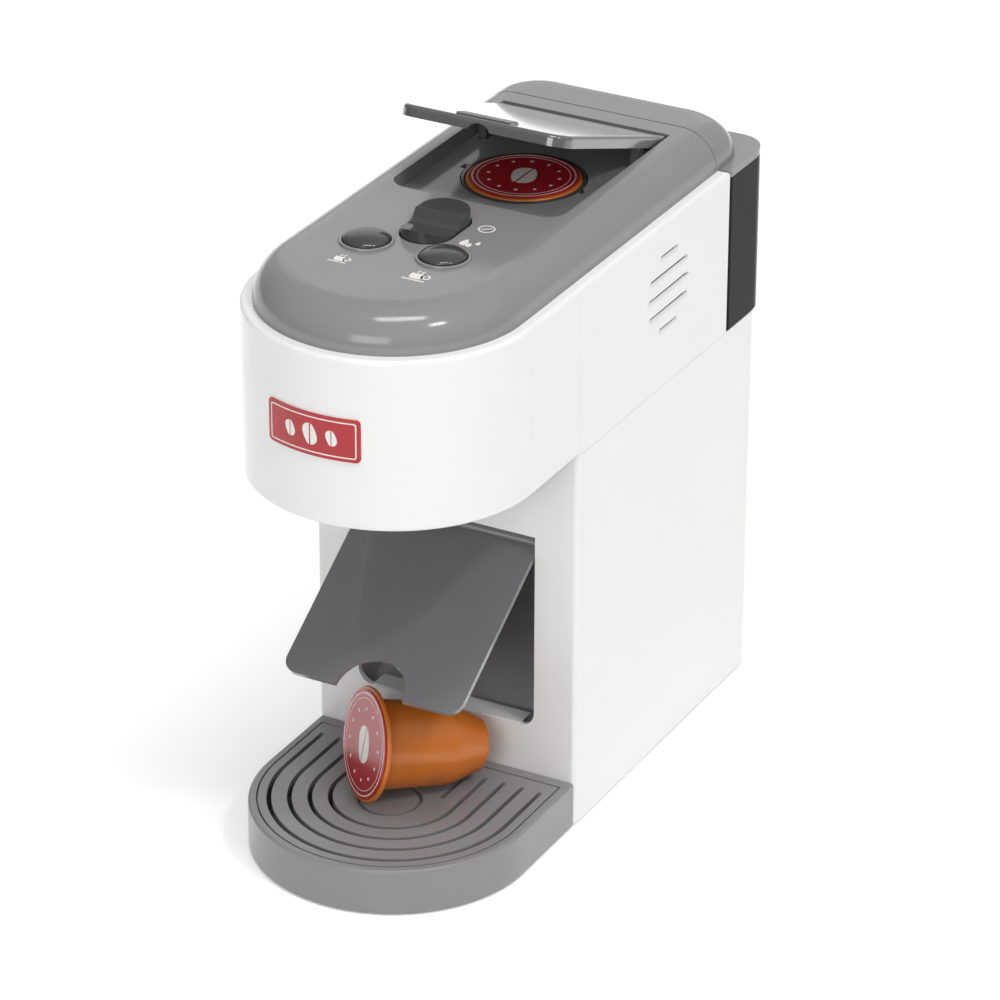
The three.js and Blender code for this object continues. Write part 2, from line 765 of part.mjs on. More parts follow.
function deckCover() {
  const dome = loft(roundedTop((inset) => dOutline(deck_half - inset, head_centre_y, deck_back),
    rim_height, rim_height, deck_top).slice(1));
  const hollow = loft(roundedTop(
    (inset) => dOutline(deck_half - deck_skin - inset, head_centre_y, deck_back - deck_skin),
    rim_height - overrun, rim_height, deck_top - deck_skin));
  const bay_shell = prism(bayOutline(deck_skin), bay_floor - deck_skin + hand_gap / 2, deck_top - deck_skin);
  const bay = prism(bayOutline(0), bay_floor, deck_top + overrun);
  const carrier_hole = post(0, capsule_y, carrier_hole_radius, bay_floor - overrun,
    bay_floor + overrun);
  const notches = mirrored((side) => block(
    side * carrier_hole_radius - hole_notch, side * carrier_hole_radius + hole_notch,
    capsule_y - hole_notch, capsule_y + hole_notch, bay_floor - overrun, bay_floor + overrun));
  const arm_reach = Math.sqrt(lid_arm_radius ** 2 - (lid_pivot_z - bay_floor) ** 2);
  const arm_slots = mirrored((side) => block(
    side * lid_arm_x - lid_arm_width / 2 - arm_slot_gap / 2,
    side * lid_arm_x + lid_arm_width / 2 + arm_slot_gap / 2,
    lid_pivot_y - arm_reach - lid_arm_height / 2 - arm_slot_gap,
    lid_pivot_y - arm_reach + lid_arm_height / 2 + arm_slot_gap,
    bay_floor - overrun, bay_floor + overrun / 2));
  const button_holes = mirrored((side) => post(side * button_x, button_y,
    bezel_radius - bezel_height + hand_gap, deck_top - overrun, deck_top + overrun));
  const rocker_hole = prism(stadium(rocker_half + rocker_play, rocker_front - rocker_play,
    rocker_back + rocker_play), deck_top - overrun, deck_top + overrun);
  const lugs = mirrored((side) => block(
    side * (rocker_lug_x + lug_thickness / 2) - lug_thickness / 2,
    side * (rocker_lug_x + lug_thickness / 2) + lug_thickness / 2,
    rocker_pivot_y - lug_half, rocker_pivot_y + lug_half,
    rocker_pivot_z - lug_half, deck_top - deck_skin / 2));
  const posts = mirrored((side) => join(...[board_post_front, board_post_back].map((y) => post(
    side * board_post_x, y, board_post_radius, board_top, deck_top - deck_skin / 2,
    small_round_steps))));
  const lid_pin_hole = rod(-half_width, half_width, lid_pivot_y, lid_pivot_z, pin_hole_radius);
  const rocker_pin_hole = rod(-rocker_lug_x - overrun, rocker_lug_x + overrun, rocker_pivot_y,
    rocker_pivot_z, pin_hole_radius);
  const pin_zone = block(-bay_half - 2 * deck_skin, bay_half + 2 * deck_skin,
    lid_pivot_y - overrun, lid_pivot_y + overrun, bay_floor, deck_top);
  return cut(join(cut(dome, hollow), bay_shell, ...lugs, ...posts), bay, carrier_hole, ...notches,
    ...arm_slots, ...button_holes, rocker_hole, lid_pin_hole.intersect(pin_zone), rocker_pin_hole);
}

add('deck_cover', deckCover(), grey);
add('lid_hinge_pin', rod(-bay_half - deck_skin, bay_half + deck_skin, lid_pivot_y, lid_pivot_z,
  pin_radius), steel);
add('rocker_pin', rod(-rocker_lug_x - lug_thickness, rocker_lug_x + lug_thickness, rocker_pivot_y,
  rocker_pivot_z, pin_radius), steel);
add('flap_hinge_pin', rod(-recess_half - wall, recess_half + wall, flap_pivot_y, flap_pivot_z,
  pin_radius), steel);

// Buttons in their bezels, rocker, board and switches

const deck_underside = deck_top - deck_skin;
const button_flange_top = deck_underside - hand_gap;

function button(x) {
  const shoulder = deck_top + button_rise - button_dome;
  const dome = Array.from({ length: fillet_steps + 1 }, (_, step) => {
    const angle = (quarter_turn * step) / fillet_steps;
    return [button_radius * Math.cos(angle), shoulder + button_dome * Math.sin(angle)];
  });
  dome[fillet_steps][0] = 0;
  return turned(x, button_y, [
    [0, button_flange_top - button_flange_thickness],
    [button_flange_radius, button_flange_top - button_flange_thickness],
    [button_flange_radius, button_flange_top],
    [button_radius, button_flange_top],
    ...dome,
  ]);
}

function bezel(x) {
  const inner = button_radius + hand_gap;
  const neck = bezel_radius - bezel_height;
  return turned(x, button_y, [
    [inner, deck_underside],
    [neck, deck_underside],
    [neck, deck_top],
    [bezel_radius, deck_top],
    [bezel_radius - bezel_wall, deck_top + bezel_height],
    [inner, deck_top + bezel_height],
    [inner, deck_underside],
  ]);
}

function rockerKnob() {
  const top = deck_top + rocker_rise;
  const body = loft(roundedTop((inset) => stadium(rocker_half - inset, rocker_front + inset,
    rocker_back - inset), rocker_bottom, top - rocker_edge, top));
  const step_cut = block(-half_width, half_width, rocker_front - overrun, rocker_pivot_y,
    top - rocker_dish_drop, top + overrun);
  const dish = toSolid(new THREE.SphereGeometry(rocker_dish_radius, round_steps, small_round_steps)
    .translate(0, (rocker_front + rocker_pivot_y) / 2,
      top - rocker_dish_drop - rocker_dish_depth + rocker_dish_radius));
  const front_half = block(-half_width, half_width, rocker_front - overrun, rocker_pivot_y,
    rocker_bottom, top + overrun);
  const hole = rod(-half_width, half_width, rocker_pivot_y, rocker_pivot_z, pin_hole_radius);
  return cut(body, step_cut, dish.intersect(front_half), hole);
}

function buttonSwitch(x) {
  const half = switch_size / 2;
  return join(
    block(x - half, x + half, button_y - half, button_y + half, board_top, board_top + switch_height),
    post(x, button_y, plunger_radius, board_top + switch_height / 2,
      board_top + switch_height + plunger_height, tiny_round_steps));
}

for (const [name, side] of [['left', -1], ['right', 1]]) {
  add(`button_${name}`, button(side * button_x), dark);
  add(`button_bezel_${name}`, bezel(side * button_x), grey);
  add(`button_switch_${name}`, buttonSwitch(side * button_x), black);
}
add('rocker_knob', rockerKnob(), dark);
add('rocker_switch', block(-rocker_switch_length / 2, rocker_switch_length / 2,
  rocker_pivot_y - switch_size / 2, rocker_pivot_y + switch_size / 2,
  board_top, board_top + switch_height), black);
add('control_board', block(-board_half, board_half, board_front, board_back,
  board_top - board_thickness, board_top), board_green);

// Capsules: a moulded cup with a rim, closed by a round label

// Profile with the rim's top at height 0
const capsuleProfile = () => [
  [0, -capsule_length],
  [capsule_end_radius, -capsule_length],
  [capsule_waist_radius, -capsule_waist_depth],
  [capsule_neck_radius, -2 * capsule_rim_thickness],
  [capsule_neck_radius, -capsule_rim_thickness],
  [capsule_rim_radius, -capsule_rim_thickness],
  [capsule_rim_radius, 0],
  [capsule_neck_radius - capsule_wall, 0],
  [capsule_waist_radius - capsule_wall, -capsule_waist_depth],
  [capsule_end_radius - capsule_wall, -capsule_length + capsule_wall],
  [0, -capsule_length + capsule_wall],
];

function addCapsule(name, parent) {
  add(name, turned(0, 0, capsuleProfile()), orange, parent);
  add(`${name}_label`, post(0, 0, capsule_label_radius, 0, capsule_label_thickness), red, parent);
}

const freshPlace = new THREE.Group();
freshPlace.position.set(0, capsule_y, capsule_top - capsule_label_thickness);
machine.add(freshPlace);
addCapsule('fresh_capsule', freshPlace);

const spentPlace = new THREE.Group();
spentPlace.position.set(spent_x, spent_y, tray_top + hand_gap + capsule_rim_radius * Math.cos(spent_lean));
spentPlace.rotation.z = spent_turn;
const spentLean = new THREE.Group();
spentLean.rotation.x = quarter_turn - spent_lean;
spentPlace.add(spentLean);
machine.add(spentPlace);
addCapsule('spent_capsule', spentLean);

// Carrier ring, sleeve and drop tube

const rim_seat = capsule_top - capsule_label_thickness - capsule_rim_thickness - hand_gap;

function capsuleCarrier() {
  return turned(0, capsule_y, [
    [carrier_bore, carrier_bottom],
    [carrier_radius, carrier_bottom],
    [carrier_radius, carrier_top],
    [capsule_rim_radius + hand_gap, carrier_top],
    [capsule_rim_radius + hand_gap, rim_seat],
    [carrier_bore, rim_seat],
    [carrier_bore, carrier_bottom],
  ]);
}

function guideSleeve() {
  const top = bay_floor - deck_skin + hand_gap / 2;
  return turned(0, capsule_y, [
    [sleeve_bore, sleeve_bottom],
    [sleeve_radius, sleeve_bottom],
    [sleeve_radius, top - deck_skin],
    [sleeve_flange_radius, top - deck_skin],
    [sleeve_flange_radius, top],
    [sleeve_bore, top],
    [sleeve_bore, sleeve_bottom],
  ]);
}

add('capsule_carrier', capsuleCarrier(), dark);
add('guide_sleeve', guideSleeve(), grey);
add('drop_tube', ring(0, capsule_y, sleeve_bore, sleeve_radius, recess_top + wall, sleeve_bottom), grey);

// Capsule lid, made closed about its hinge and then opened

const lid_top = deck_top - lid_pivot_z;
const lid_underside = lid_top - lid_skin;

function lidArm(side) {
  const inner = lid_arm_radius - lid_arm_height / 2;
  const outer = lid_arm_radius + lid_arm_height / 2;
  const start = Math.PI - Math.asin((lid_underside + lid_skin / 2) / outer);
  const end = Math.PI + lid_arm_sweep;
  return sidePrism([
    ...arc(0, 0, outer, start, end, arc_steps / 2),
    ...arc(0, 0, inner, end, start, arc_steps / 2),
  ], side * lid_arm_x - lid_arm_width / 2, side * lid_arm_x + lid_arm_width / 2);
}

function capsuleLid() {
  const outline = (inset) => roundedOutline(lid_half - inset, inset - lid_reach, lid_tail,
    lid_corner - inset, bezel_wall);
  const shell = loft(roundedTop(outline, lid_top - lid_skirt, lid_top - lid_edge, lid_top));
  const hollow = prism(roundedOutline(lid_half - lid_skin, lid_skin - lid_reach,
    lid_tail - lid_skin, lid_corner - lid_skin, bezel_wall), lid_top - lid_skirt - overrun,
    lid_underside);
  const barrel_half = lid_half - lid_barrel_gap;
  const spindle = rod(-barrel_half, barrel_half, 0, 0, lid_barrel_radius);
  const arms = mirrored(lidArm);
  const press_ring = ring(0, capsule_y - lid_pivot_y, press_ring_radius - press_ring_wall,
    press_ring_radius, lid_top - lid_skirt + lid_skin / 2, lid_underside + lid_skin / 2);
  const notch = barrel(0, -lid_reach - overrun, -lid_reach + 2 * lid_skin,
    lid_top - lid_skirt - finger_notch_radius / 2, finger_notch_radius, small_round_steps);
  const grip_front = grip_setback - lid_reach;
  const pad = block(-grip_length / 2, grip_length / 2, grip_front, grip_front + grip_width,
    lid_underside, lid_top + grip_height);
  const rib_pitch = grip_width / grip_rib_count;
  const ribs = Array.from({ length: grip_rib_count }, (_, rib) => block(
    -grip_length / 2, grip_length / 2, grip_front + rib * rib_pitch,
    grip_front + (rib + 0.5) * rib_pitch, lid_underside, lid_top + 2 * grip_height));
  const pin_hole = rod(-half_width, half_width, 0, 0, pin_hole_radius);
  return cut(join(cut(shell, hollow), spindle, ...arms, press_ring, pad, ...ribs), notch, pin_hole);
}

const lidHinge = new THREE.Group();
lidHinge.position.set(0, lid_pivot_y, lid_pivot_z);
lidHinge.rotation.x = -lid_open_angle;
machine.add(lidHinge);
add('capsule_lid', capsuleLid(), grey, lidHinge);

// Eject flap, made hanging closed about its pin and then opened

function ejectFlap() {
  const outline = [
    ...arc(flap_corner - flap_half, flap_corner - flap_reach, flap_corner,
      Math.PI, 3 * quarter_turn, corner_steps),
    ...arc(0, -flap_reach, flap_notch_radius, Math.PI, 0, arc_steps / 2),
    ...arc(flap_half - flap_corner, flap_corner - flap_reach, flap_corner,
      3 * quarter_turn, 4 * quarter_turn, corner_steps),
    new THREE.Vector2(flap_half, flap_barrel_radius),
    new THREE.Vector2(-flap_half, flap_barrel_radius),
  ];
  const panel = frontPrism(outline, flap_offset, flap_offset + flap_thickness);
  const spindle = rod(-flap_half, flap_half, 0, 0, flap_barrel_radius);
  const pin_hole = rod(-half_width, half_width, 0, 0, pin_hole_radius);
  return cut(join(panel, spindle), pin_hole);
}

const flapHinge = new THREE.Group();
flapHinge.position.set(0, flap_pivot_y, flap_pivot_z);
flapHinge.rotation.x = -flap_open_angle;
machine.add(flapHinge);
add('eject_flap', ejectFlap(), grey, flapHinge);

// Water tank, lid, valve and the socket it plugs into

const tankOutline = (inset) => roundedOutline(half_width - inset, tank_front + inset,
  tank_back - inset, front_corner, rear_corner - inset);

function waterTank() {
  return cut(prism(tankOutline(0), tank_bottom, tank_top),
    prism(tankOutline(tank_wall), tank_bottom + tank_wall, tank_top + overrun),
    post(0, valve_y, valve_radius + hand_gap, tank_bottom - overrun, tank_bottom + overrun,
      small_round_steps));
}

function tankLid() {
  const flange = prism(tankOutline(0), tank_top, rim_height);
  const domeOutline = (inset) => roundedOutline(deck_half - inset, tank_lid_front,
    tank_dome_back - inset, bezel_wall, Math.max(tank_dome_corner - inset / 2, tank_wall));
  const dome = loft(roundedTop(domeOutline, rim_height, rim_height, deck_top).slice(1));
  const inside = (inset) => roundedOutline(deck_half - deck_skin - inset, tank_front + 2 * tank_wall,
    tank_dome_back - deck_skin - inset, bezel_wall, Math.max(tank_dome_corner - inset / 2, tank_wall));
  const hollow = loft(roundedTop(inside, tank_top - overrun, rim_height, deck_top - deck_skin));
  const plug_gap = tank_wall + hand_gap;
  const plug = cut(prism(tankOutline(plug_gap), tank_top - tank_plug_depth, tank_top + hand_gap),
    prism(tankOutline(plug_gap + tank_plug_wall), tank_top - tank_plug_depth - overrun,
      tank_top + overrun));
  return join(cut(join(flange, dome), hollow), plug);
}

function tankValve() {
  const seat = tank_bottom + tank_wall;
  return turned(0, valve_y, [
    [0, tank_bottom - valve_length],
    [valve_radius - wall, tank_bottom - valve_length],
    [valve_radius, tank_bottom - valve_length + wall],
    [valve_radius, seat],
    [valve_flange_radius, seat],
    [valve_flange_radius, seat + valve_flange_thickness],
    [0, seat + valve_flange_thickness],
  ], small_round_steps);
}

function tankSocket() {
  const flange_top = split_height - shelf_thickness;
  const bore = valve_radius + hand_gap;
  const bottom = split_height - socket_length;
  return turned(0, valve_y, [
    [0, bottom],
    [nipple_radius, bottom],
    [nipple_radius, bottom + nipple_height / 2],
    [bore, bottom + nipple_height / 2],
    [socket_radius, bottom + nipple_height],
    [socket_radius, flange_top - socket_wall],
    [socket_flange_radius, flange_top - socket_wall],
    [socket_flange_radius, flange_top],
    [socket_radius, flange_top],
    [socket_radius, split_height],
    [bore, split_height],
    [bore, tank_bottom - valve_length - hand_gap],
    [0, tank_bottom - valve_length - hand_gap],
  ], small_round_steps);
}

add('water_tank', waterTank(), smoke);
add('tank_lid', tankLid(), grey);
add('tank_valve', tankValve(), black);
add('tank_socket', tankSocket(), black);

// Pump, hoses and nozzle

const pump_inside = well_half + well_wall + pump_gap;
const pump_outside = post_x - post_radius - pump_post_gap;
const pump_half = (pump_outside - pump_inside) / 2;
const pump_x = -pump_inside - pump_half;
const pump_top = base_top + pump_height;
const nozzle_flange_bottom = head_bottom + panel_thickness;
const nozzle_top = nozzle_flange_bottom + nozzle_flange_thickness + nozzle_height;

function pump() {
  const body = block(pump_x - pump_half, pump_x + pump_half, pump_front, pump_inlet_y + pump_half / 2,
    base_top, pump_top);
  const motor = barrel(pump_x, pump_front, pump_back, base_top + pump_half,
    pump_half - hand_gap, small_round_steps);
  const nipples = [pump_outlet_y, pump_inlet_y].map((y) => post(pump_x, y, nipple_radius,
    pump_top - wall, pump_top + nipple_height, tiny_round_steps));
  return join(body, motor, ...nipples);
}

function nozzle() {
  return turned(0, nozzle_y, [
    [0, head_bottom - nozzle_drop],
    [nozzle_tip_radius, head_bottom - nozzle_drop],
    [nozzle_radius, head_bottom],
    [nozzle_radius, nozzle_flange_bottom],
    [nozzle_flange_radius, nozzle_flange_bottom],
    [nozzle_flange_radius, nozzle_flange_bottom + nozzle_flange_thickness],
    [nipple_radius, nozzle_flange_bottom + nozzle_flange_thickness],
    [nipple_radius, nozzle_top],
    [0, nozzle_top],
  ]);
}

const hose_end = pump_top + nipple_height + hand_gap;
const hose_straight = hose_end + 2 * hose_radius;
const hose_side = hose_radius + hose_side_gap - inner_half;
const between = (from, to, share) => from + (to - from) * share;

// Each row: shares of the way across, along and up
const supply_shares = [[0, 0, 0.89], [0.28, -0.11, 0.65], [0.86, -0.11, 0.3], [1, 0.83, 0.13]];
const socket_bottom = split_height - socket_length - hand_gap;
const supplyRoute = [
  [0, valve_y, socket_bottom],
  ...supply_shares.map(([across, along, up]) => [
    across * pump_x, between(valve_y, pump_inlet_y, along), between(hose_end, socket_bottom, up)]),
  [pump_x, pump_inlet_y, hose_straight],
  [pump_x, pump_inlet_y, hose_end],
];
const feed_shares = [[0.96, 0.03, 0.2], [1, 0.22, 0.58], [1, 0.42, 0.91], [0.74, 0.73, 1],
  [0.26, 0.94, 0.99], [0, 1, 0.92]];
const feed_top = rim_height - hose_drop;
const feedRoute = [
  [pump_x, pump_outlet_y, hose_end],
  [pump_x, pump_outlet_y, hose_straight],
  ...feed_shares.map(([across, along, up]) => [
    across * hose_side, between(pump_outlet_y, nozzle_y, along), between(hose_end, feed_top, up)]),
  [0, nozzle_y, nozzle_top + hand_gap],
];

add('pump', pump(), black);
add('nozzle', nozzle(), grey);
add('supply_hose', tube(supplyRoute, hose_radius, 20), pale);
add('feed_hose', tube(feedRoute, hose_radius, 36), pale);

// Drip tray and its drop-in grille

const tray_centre_y = tray_half - tray_reach;
const grille_bottom = tray_top - grille_thickness;

function dripTray() {
  const trayOutline = (inset) => dOutline(tray_half - inset, tray_centre_y, tray_back);
  const body = loft([
    { outline: trayOutline(tray_edge), z: 0 },
    { outline: trayOutline(0), z: tray_edge },
    { outline: trayOutline(0), z: tray_top },
  ]);
  const seat = prism(dOutline(grille_half + grille_play, tray_centre_y, grille_back + grille_play),
    grille_bottom, tray_top + overrun);
  const basin = prism(dOutline(grille_half - grille_ledge, tray_centre_y,
    grille_back - grille_ledge), tray_floor, tray_top + overrun);
  return cut(body, seat, basin);
}

// A slot that runs forward from the back, round the front and back again
function roundSlot(radius) {
  const half = slot_width / 2;
  const ends = { from: Math.PI, to: 2 * Math.PI };
  const band = prism([
    ...arc(0, tray_centre_y, radius + half, ends.from, ends.to, arc_steps),
    ...arc(0, tray_centre_y, radius - half, ends.to, ends.from, arc_steps),
  ], grille_bottom - overrun, tray_top + overrun);
  return join(band, ...mirrored((side) => straightSlot(side * radius, tray_centre_y)));
}

function straightSlot(x, front_y) {
  const half = slot_width / 2;
  return join(
    block(x - half, x + half, front_y, slot_start_y, grille_bottom - overrun, tray_top + overrun),
    ...[front_y, slot_start_y].map((y) => post(x, y, half, grille_bottom - overrun,
      tray_top + overrun, tiny_round_steps)));
}

function dripGrille() {
  const plate = prism(dOutline(grille_half, tray_centre_y, grille_back), grille_bottom, tray_top);
  const rounds = Array.from({ length: slot_ring_count }, (_, index) =>
    roundSlot(slot_outer_radius - index * slot_pitch));
  const shorts = short_slot_shares.flatMap((share, index) => mirrored((side) =>
    straightSlot(side * (slot_outer_radius - (slot_ring_count + index) * slot_pitch),
      cup_ring_y + share * cup_ring_radius)));
  const cup_ring = ring(0, cup_ring_y, cup_ring_radius - cup_ring_width, cup_ring_radius,
    tray_top - cup_ring_depth, tray_top + overrun);
  return cut(plate, ...rounds, ...shorts, cup_ring);
}

add('drip_tray', dripTray(), grey);
add('drip_grille', dripGrille(), grey);

export default machine;
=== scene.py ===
"""Looks of a toy capsule coffee maker.

Glossy white housings, a grey deck and drip tray, a dark see-through water tank and orange
capsules. Lengths are in millimetres where no comment says metres, and depths are measured back
from the front face of the column.
"""

import json
import math

import bmesh
import bpy
from mathutils import Matrix, Vector

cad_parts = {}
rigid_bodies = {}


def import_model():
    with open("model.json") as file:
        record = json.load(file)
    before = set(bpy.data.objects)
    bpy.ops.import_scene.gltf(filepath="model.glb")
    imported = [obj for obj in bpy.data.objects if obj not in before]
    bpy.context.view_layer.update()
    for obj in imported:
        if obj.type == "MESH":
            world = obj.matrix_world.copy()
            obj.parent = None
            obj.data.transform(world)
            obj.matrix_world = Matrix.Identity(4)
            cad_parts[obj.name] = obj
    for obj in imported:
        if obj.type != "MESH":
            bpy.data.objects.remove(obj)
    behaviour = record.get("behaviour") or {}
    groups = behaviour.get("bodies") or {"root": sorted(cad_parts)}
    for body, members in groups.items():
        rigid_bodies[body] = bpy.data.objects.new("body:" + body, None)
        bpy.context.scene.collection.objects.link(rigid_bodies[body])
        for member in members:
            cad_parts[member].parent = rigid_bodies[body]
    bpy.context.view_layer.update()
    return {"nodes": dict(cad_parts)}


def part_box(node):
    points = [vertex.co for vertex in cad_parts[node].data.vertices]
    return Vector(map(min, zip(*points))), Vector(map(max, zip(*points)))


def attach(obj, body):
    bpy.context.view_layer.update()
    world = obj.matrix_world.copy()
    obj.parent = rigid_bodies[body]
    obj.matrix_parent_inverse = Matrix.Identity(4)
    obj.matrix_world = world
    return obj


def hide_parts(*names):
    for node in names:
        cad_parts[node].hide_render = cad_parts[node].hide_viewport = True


bl_info = {
    "name": "Toy Coffee Maker",
    "version": (1, 0, 0),
    "blender": (4, 5, 0),
    "location": "3D View > Sidebar > Coffee Maker",
    "description": "Builds the shown surfaces of a toy capsule coffee maker",
    "category": "Object",
}

for leftover in list(bpy.data.objects):
    bpy.data.objects.remove(leftover)

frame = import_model()
nodes = frame["nodes"]

MM = 0.001
SIDES = (-1, 1)

# The front face of the column, in metres
COLUMN_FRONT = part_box("lower_housing")[0].y

# Housings: half the machine's width, the walls, and the heights and depths where they meet
HALF = 55.0
WALL = 2.2
ROOF = 2.5
INNER_HALF = HALF - WALL
FOOT_HEIGHT = 1.5
SPLIT = 155.0
HEAD_BOTTOM = 155.6
RIM = 221.25
RIM_RADIUS = 1.7
HEAD_CENTRE = -35.8
BULKHEAD = 121.0
COLUMN_DEPTH = 153.8
OPENING_HALF = 46.7
OPENING_BACK = 114.1
RECESS = {"half": 37.5, "bottom": 38.2, "top": 118, "corner": 6}
VENT_MIDDLE = (71, 193)
OUTLET_Y = -42.5
VALVE_Y = 136
BADGE = {"left": -22.0, "right": 16.0, "bottom": 182.0, "top": 198.4, "radius": 55.1}

# Deck, its bay for the capsule, and the controls
DECK_TOP = 236.3
DECK_HALF = 50.6
DECK_BACK = 118.35
DECK_INNER_HALF = DECK_HALF - WALL
DECK_INNER_TOP = DECK_TOP - WALL
SEAM_RADIUS = 0.35
BAY = {"half": 35.2, "front": 19.5, "back": 110.6, "floor": 230.0}
CAPSULE_Y = 60.3
CAPSULE_HOLE = 23.6
BUTTON_X = 15.5
BUTTON_Y = -28.8
ROCKER_TOP = 241.6

# Hinges: depth and height of each axis, and how far the hinged parts stand open at rest
LID_PIVOT = (107.2, 233.35)
FLAP_PIVOT = (4.6, 114.4)
ROCKER_PIVOT = (-6.5, 231.5)
PIN_HOLE = 1.3
LID_OPEN = math.radians(20)
FLAP_OPEN = math.radians(56.5)
ARM_X = 31.8
ARM_RADIUS = 18

# Water tank, drip tray and capsules
TANK_FRONT = 121.3
TANK_BACK = 156.2
TANK_LID_BOTTOM = 218.45
TRAY_TOP = 18.9
TRAY_CENTRE = -39.1
TRAY_HALF = 54.5
GRILLE_BOTTOM = 16.5
CAPSULE = {"length": 46, "end": 10, "shoulder": 15.2, "shoulder_depth": 33, "rim": 21.7}
LABEL_TOP = 0.6

# Height of a printed mark over its ground
PRINT = 0.05

# Lamps: place and aim, width and height in metres, power in watts
LAMPS = {
    "overhead": ((0.38, -0.51, 2.57), (0, 0, 0.15), (1.1, 0.45), 21),
    "right": ((1.44, -0.49, 2.01), (0, 0, 0.15), (0.4, 0.22), 10),
    "front": ((0.41, -2.46, 1.0), (0, 0, 0.12), (1.3, 0.8), 16),
    "back": ((-1.05, 1.97, 1.12), (0, 0, 0.2), (1.8, 1.2), 2.5),
}

# Camera: its turn from the front, its elevation and its tilt, its lens, and its place in metres
AZIMUTH = math.radians(28.325)
ELEVATION = math.radians(27.004)
TILT = 0.0032885
LENS = 173.896
CAMERA_PLACE = (0.7686, -1.3834 + COLUMN_FRONT, 0.9308)


def colour(red, green, blue):
    """A screen colour from 0 to 255 as the linear colour that a shader takes."""
    shares = [value / 255 for value in (red, green, blue)]
    return tuple(s / 12.92 if s <= 0.04045 else ((s + 0.055) / 1.055) ** 2.4 for s in shares)


# Settings that a user would change


class CoffeeFinishes(bpy.types.PropertyGroup):
    """Colours and surface texture of the mouldings."""

    white: bpy.props.FloatVectorProperty(
        name="Housing White", description="Colour of the housings", subtype="COLOR",
        min=0, max=1, default=colour(243, 243, 242))
    grey: bpy.props.FloatVectorProperty(
        name="Deck Grey", description="Colour of the deck, tray and grille", subtype="COLOR",
        min=0, max=1, default=colour(140, 138, 139))
    lid: bpy.props.FloatVectorProperty(
        name="Lid Grey", description="Colour of the glossy capsule lid", subtype="COLOR",
        min=0, max=1, default=colour(94, 93, 95))
    dark: bpy.props.FloatVectorProperty(
        name="Knob Grey", description="Colour of the buttons and the rocker", subtype="COLOR",
        min=0, max=1, default=colour(70, 70, 72))
    orange: bpy.props.FloatVectorProperty(
        name="Capsule Orange", description="Colour of the capsules", subtype="COLOR",
        min=0, max=1, default=colour(206, 112, 34))
    red: bpy.props.FloatVectorProperty(
        name="Label Red", description="Colour of the printed labels", subtype="COLOR",
        min=0, max=1, default=colour(178, 30, 38))
    grain: bpy.props.FloatProperty(
        name="Moulding Grain", description="Width of the fine grain on moulded plastic",
        subtype="DISTANCE", unit="LENGTH", min=0.0001, max=0.005, default=1.8 * MM)


class CoffeeEdges(bpy.types.PropertyGroup):
    """Radii of the moulded edges."""

    shell: bpy.props.FloatProperty(
        name="Column Edge", description="Radius along the edges of the column",
        subtype="DISTANCE", unit="LENGTH", min=0, max=0.002, default=0.55 * MM)
    fine: bpy.props.FloatProperty(
        name="Fine Edge", description="Radius along the edges of the other mouldings",
        subtype="DISTANCE", unit="LENGTH", min=0, max=0.001, default=0.25 * MM)


class CoffeeVents(bpy.types.PropertyGroup):
    """The vents in both sides of the upper housing."""

    height: bpy.props.FloatProperty(
        name="Vent Height", description="Height of one vent", subtype="DISTANCE",
        unit="LENGTH", min=0.0005, max=0.006, default=2.6 * MM)
    pitch: bpy.props.FloatProperty(
        name="Vent Pitch", description="Height from one vent to the next", subtype="DISTANCE",
        unit="LENGTH", min=0.001, max=0.02, default=7.3 * MM)
    shortest: bpy.props.FloatProperty(
        name="End Vent Length", description="Length of the top and bottom vents",
        subtype="DISTANCE", unit="LENGTH", min=0.003, max=0.05, default=14.5 * MM)
    longer: bpy.props.FloatProperty(
        name="Inner Vent Length", description="Length of the second and fourth vents",
        subtype="DISTANCE", unit="LENGTH", min=0.003, max=0.05, default=31 * MM)
    longest: bpy.props.FloatProperty(
        name="Middle Vent Length", description="Length of the middle vent",
        subtype="DISTANCE", unit="LENGTH", min=0.003, max=0.05, default=33 * MM)


class CoffeeGrille(bpy.types.PropertyGroup):
    """The slots of the drip grille."""

    rings: bpy.props.IntProperty(
        name="Round Slots", description="Number of slots that run round the front",
        min=1, max=6, default=4)
    width: bpy.props.FloatProperty(
        name="Slot Width", description="Width of each slot", subtype="DISTANCE",
        unit="LENGTH", min=0.0005, max=0.005, default=1.8 * MM)
    pitch: bpy.props.FloatProperty(
        name="Slot Pitch", description="Distance from one slot to the next", subtype="DISTANCE",
        unit="LENGTH", min=0.003, max=0.02, default=7.6 * MM)


class CoffeeGrip(bpy.types.PropertyGroup):
    """The ribs on the capsule lid's finger pad."""

    count: bpy.props.IntProperty(
        name="Grip Ribs", description="Number of ribs on the finger pad", min=1, max=8, default=4)
    pitch: bpy.props.FloatProperty(
        name="Rib Pitch", description="Distance from one rib to the next", subtype="DISTANCE",
        unit="LENGTH", min=0.001, max=0.005, default=1.75 * MM)


SETTINGS = {
    "coffee_finishes": CoffeeFinishes,
    "coffee_edges": CoffeeEdges,
    "coffee_vents": CoffeeVents,
    "coffee_grille": CoffeeGrille,
    "coffee_grip": CoffeeGrip,
}


# Outlines, counter-clockwise seen from above


def evenly(span, steps):
    """Values from 0 to a span in equal steps."""
    return [span * step / steps for step in range(steps + 1)]


def arc(cx, cy, radius, start, end, steps):
    """Points along an arc, with its angles in degrees."""
    angles = [math.radians(start + turn) for turn in evenly(end - start, steps)]
    return [(cx + radius * math.cos(a), cy + radius * math.sin(a)) for a in angles]


def half_round(half, centre, back, steps=96):
    """Straight sides and a flat back with a half-round front."""
    return [*arc(0, centre, half, 180, 360, steps), (half, back), (-half, back)]


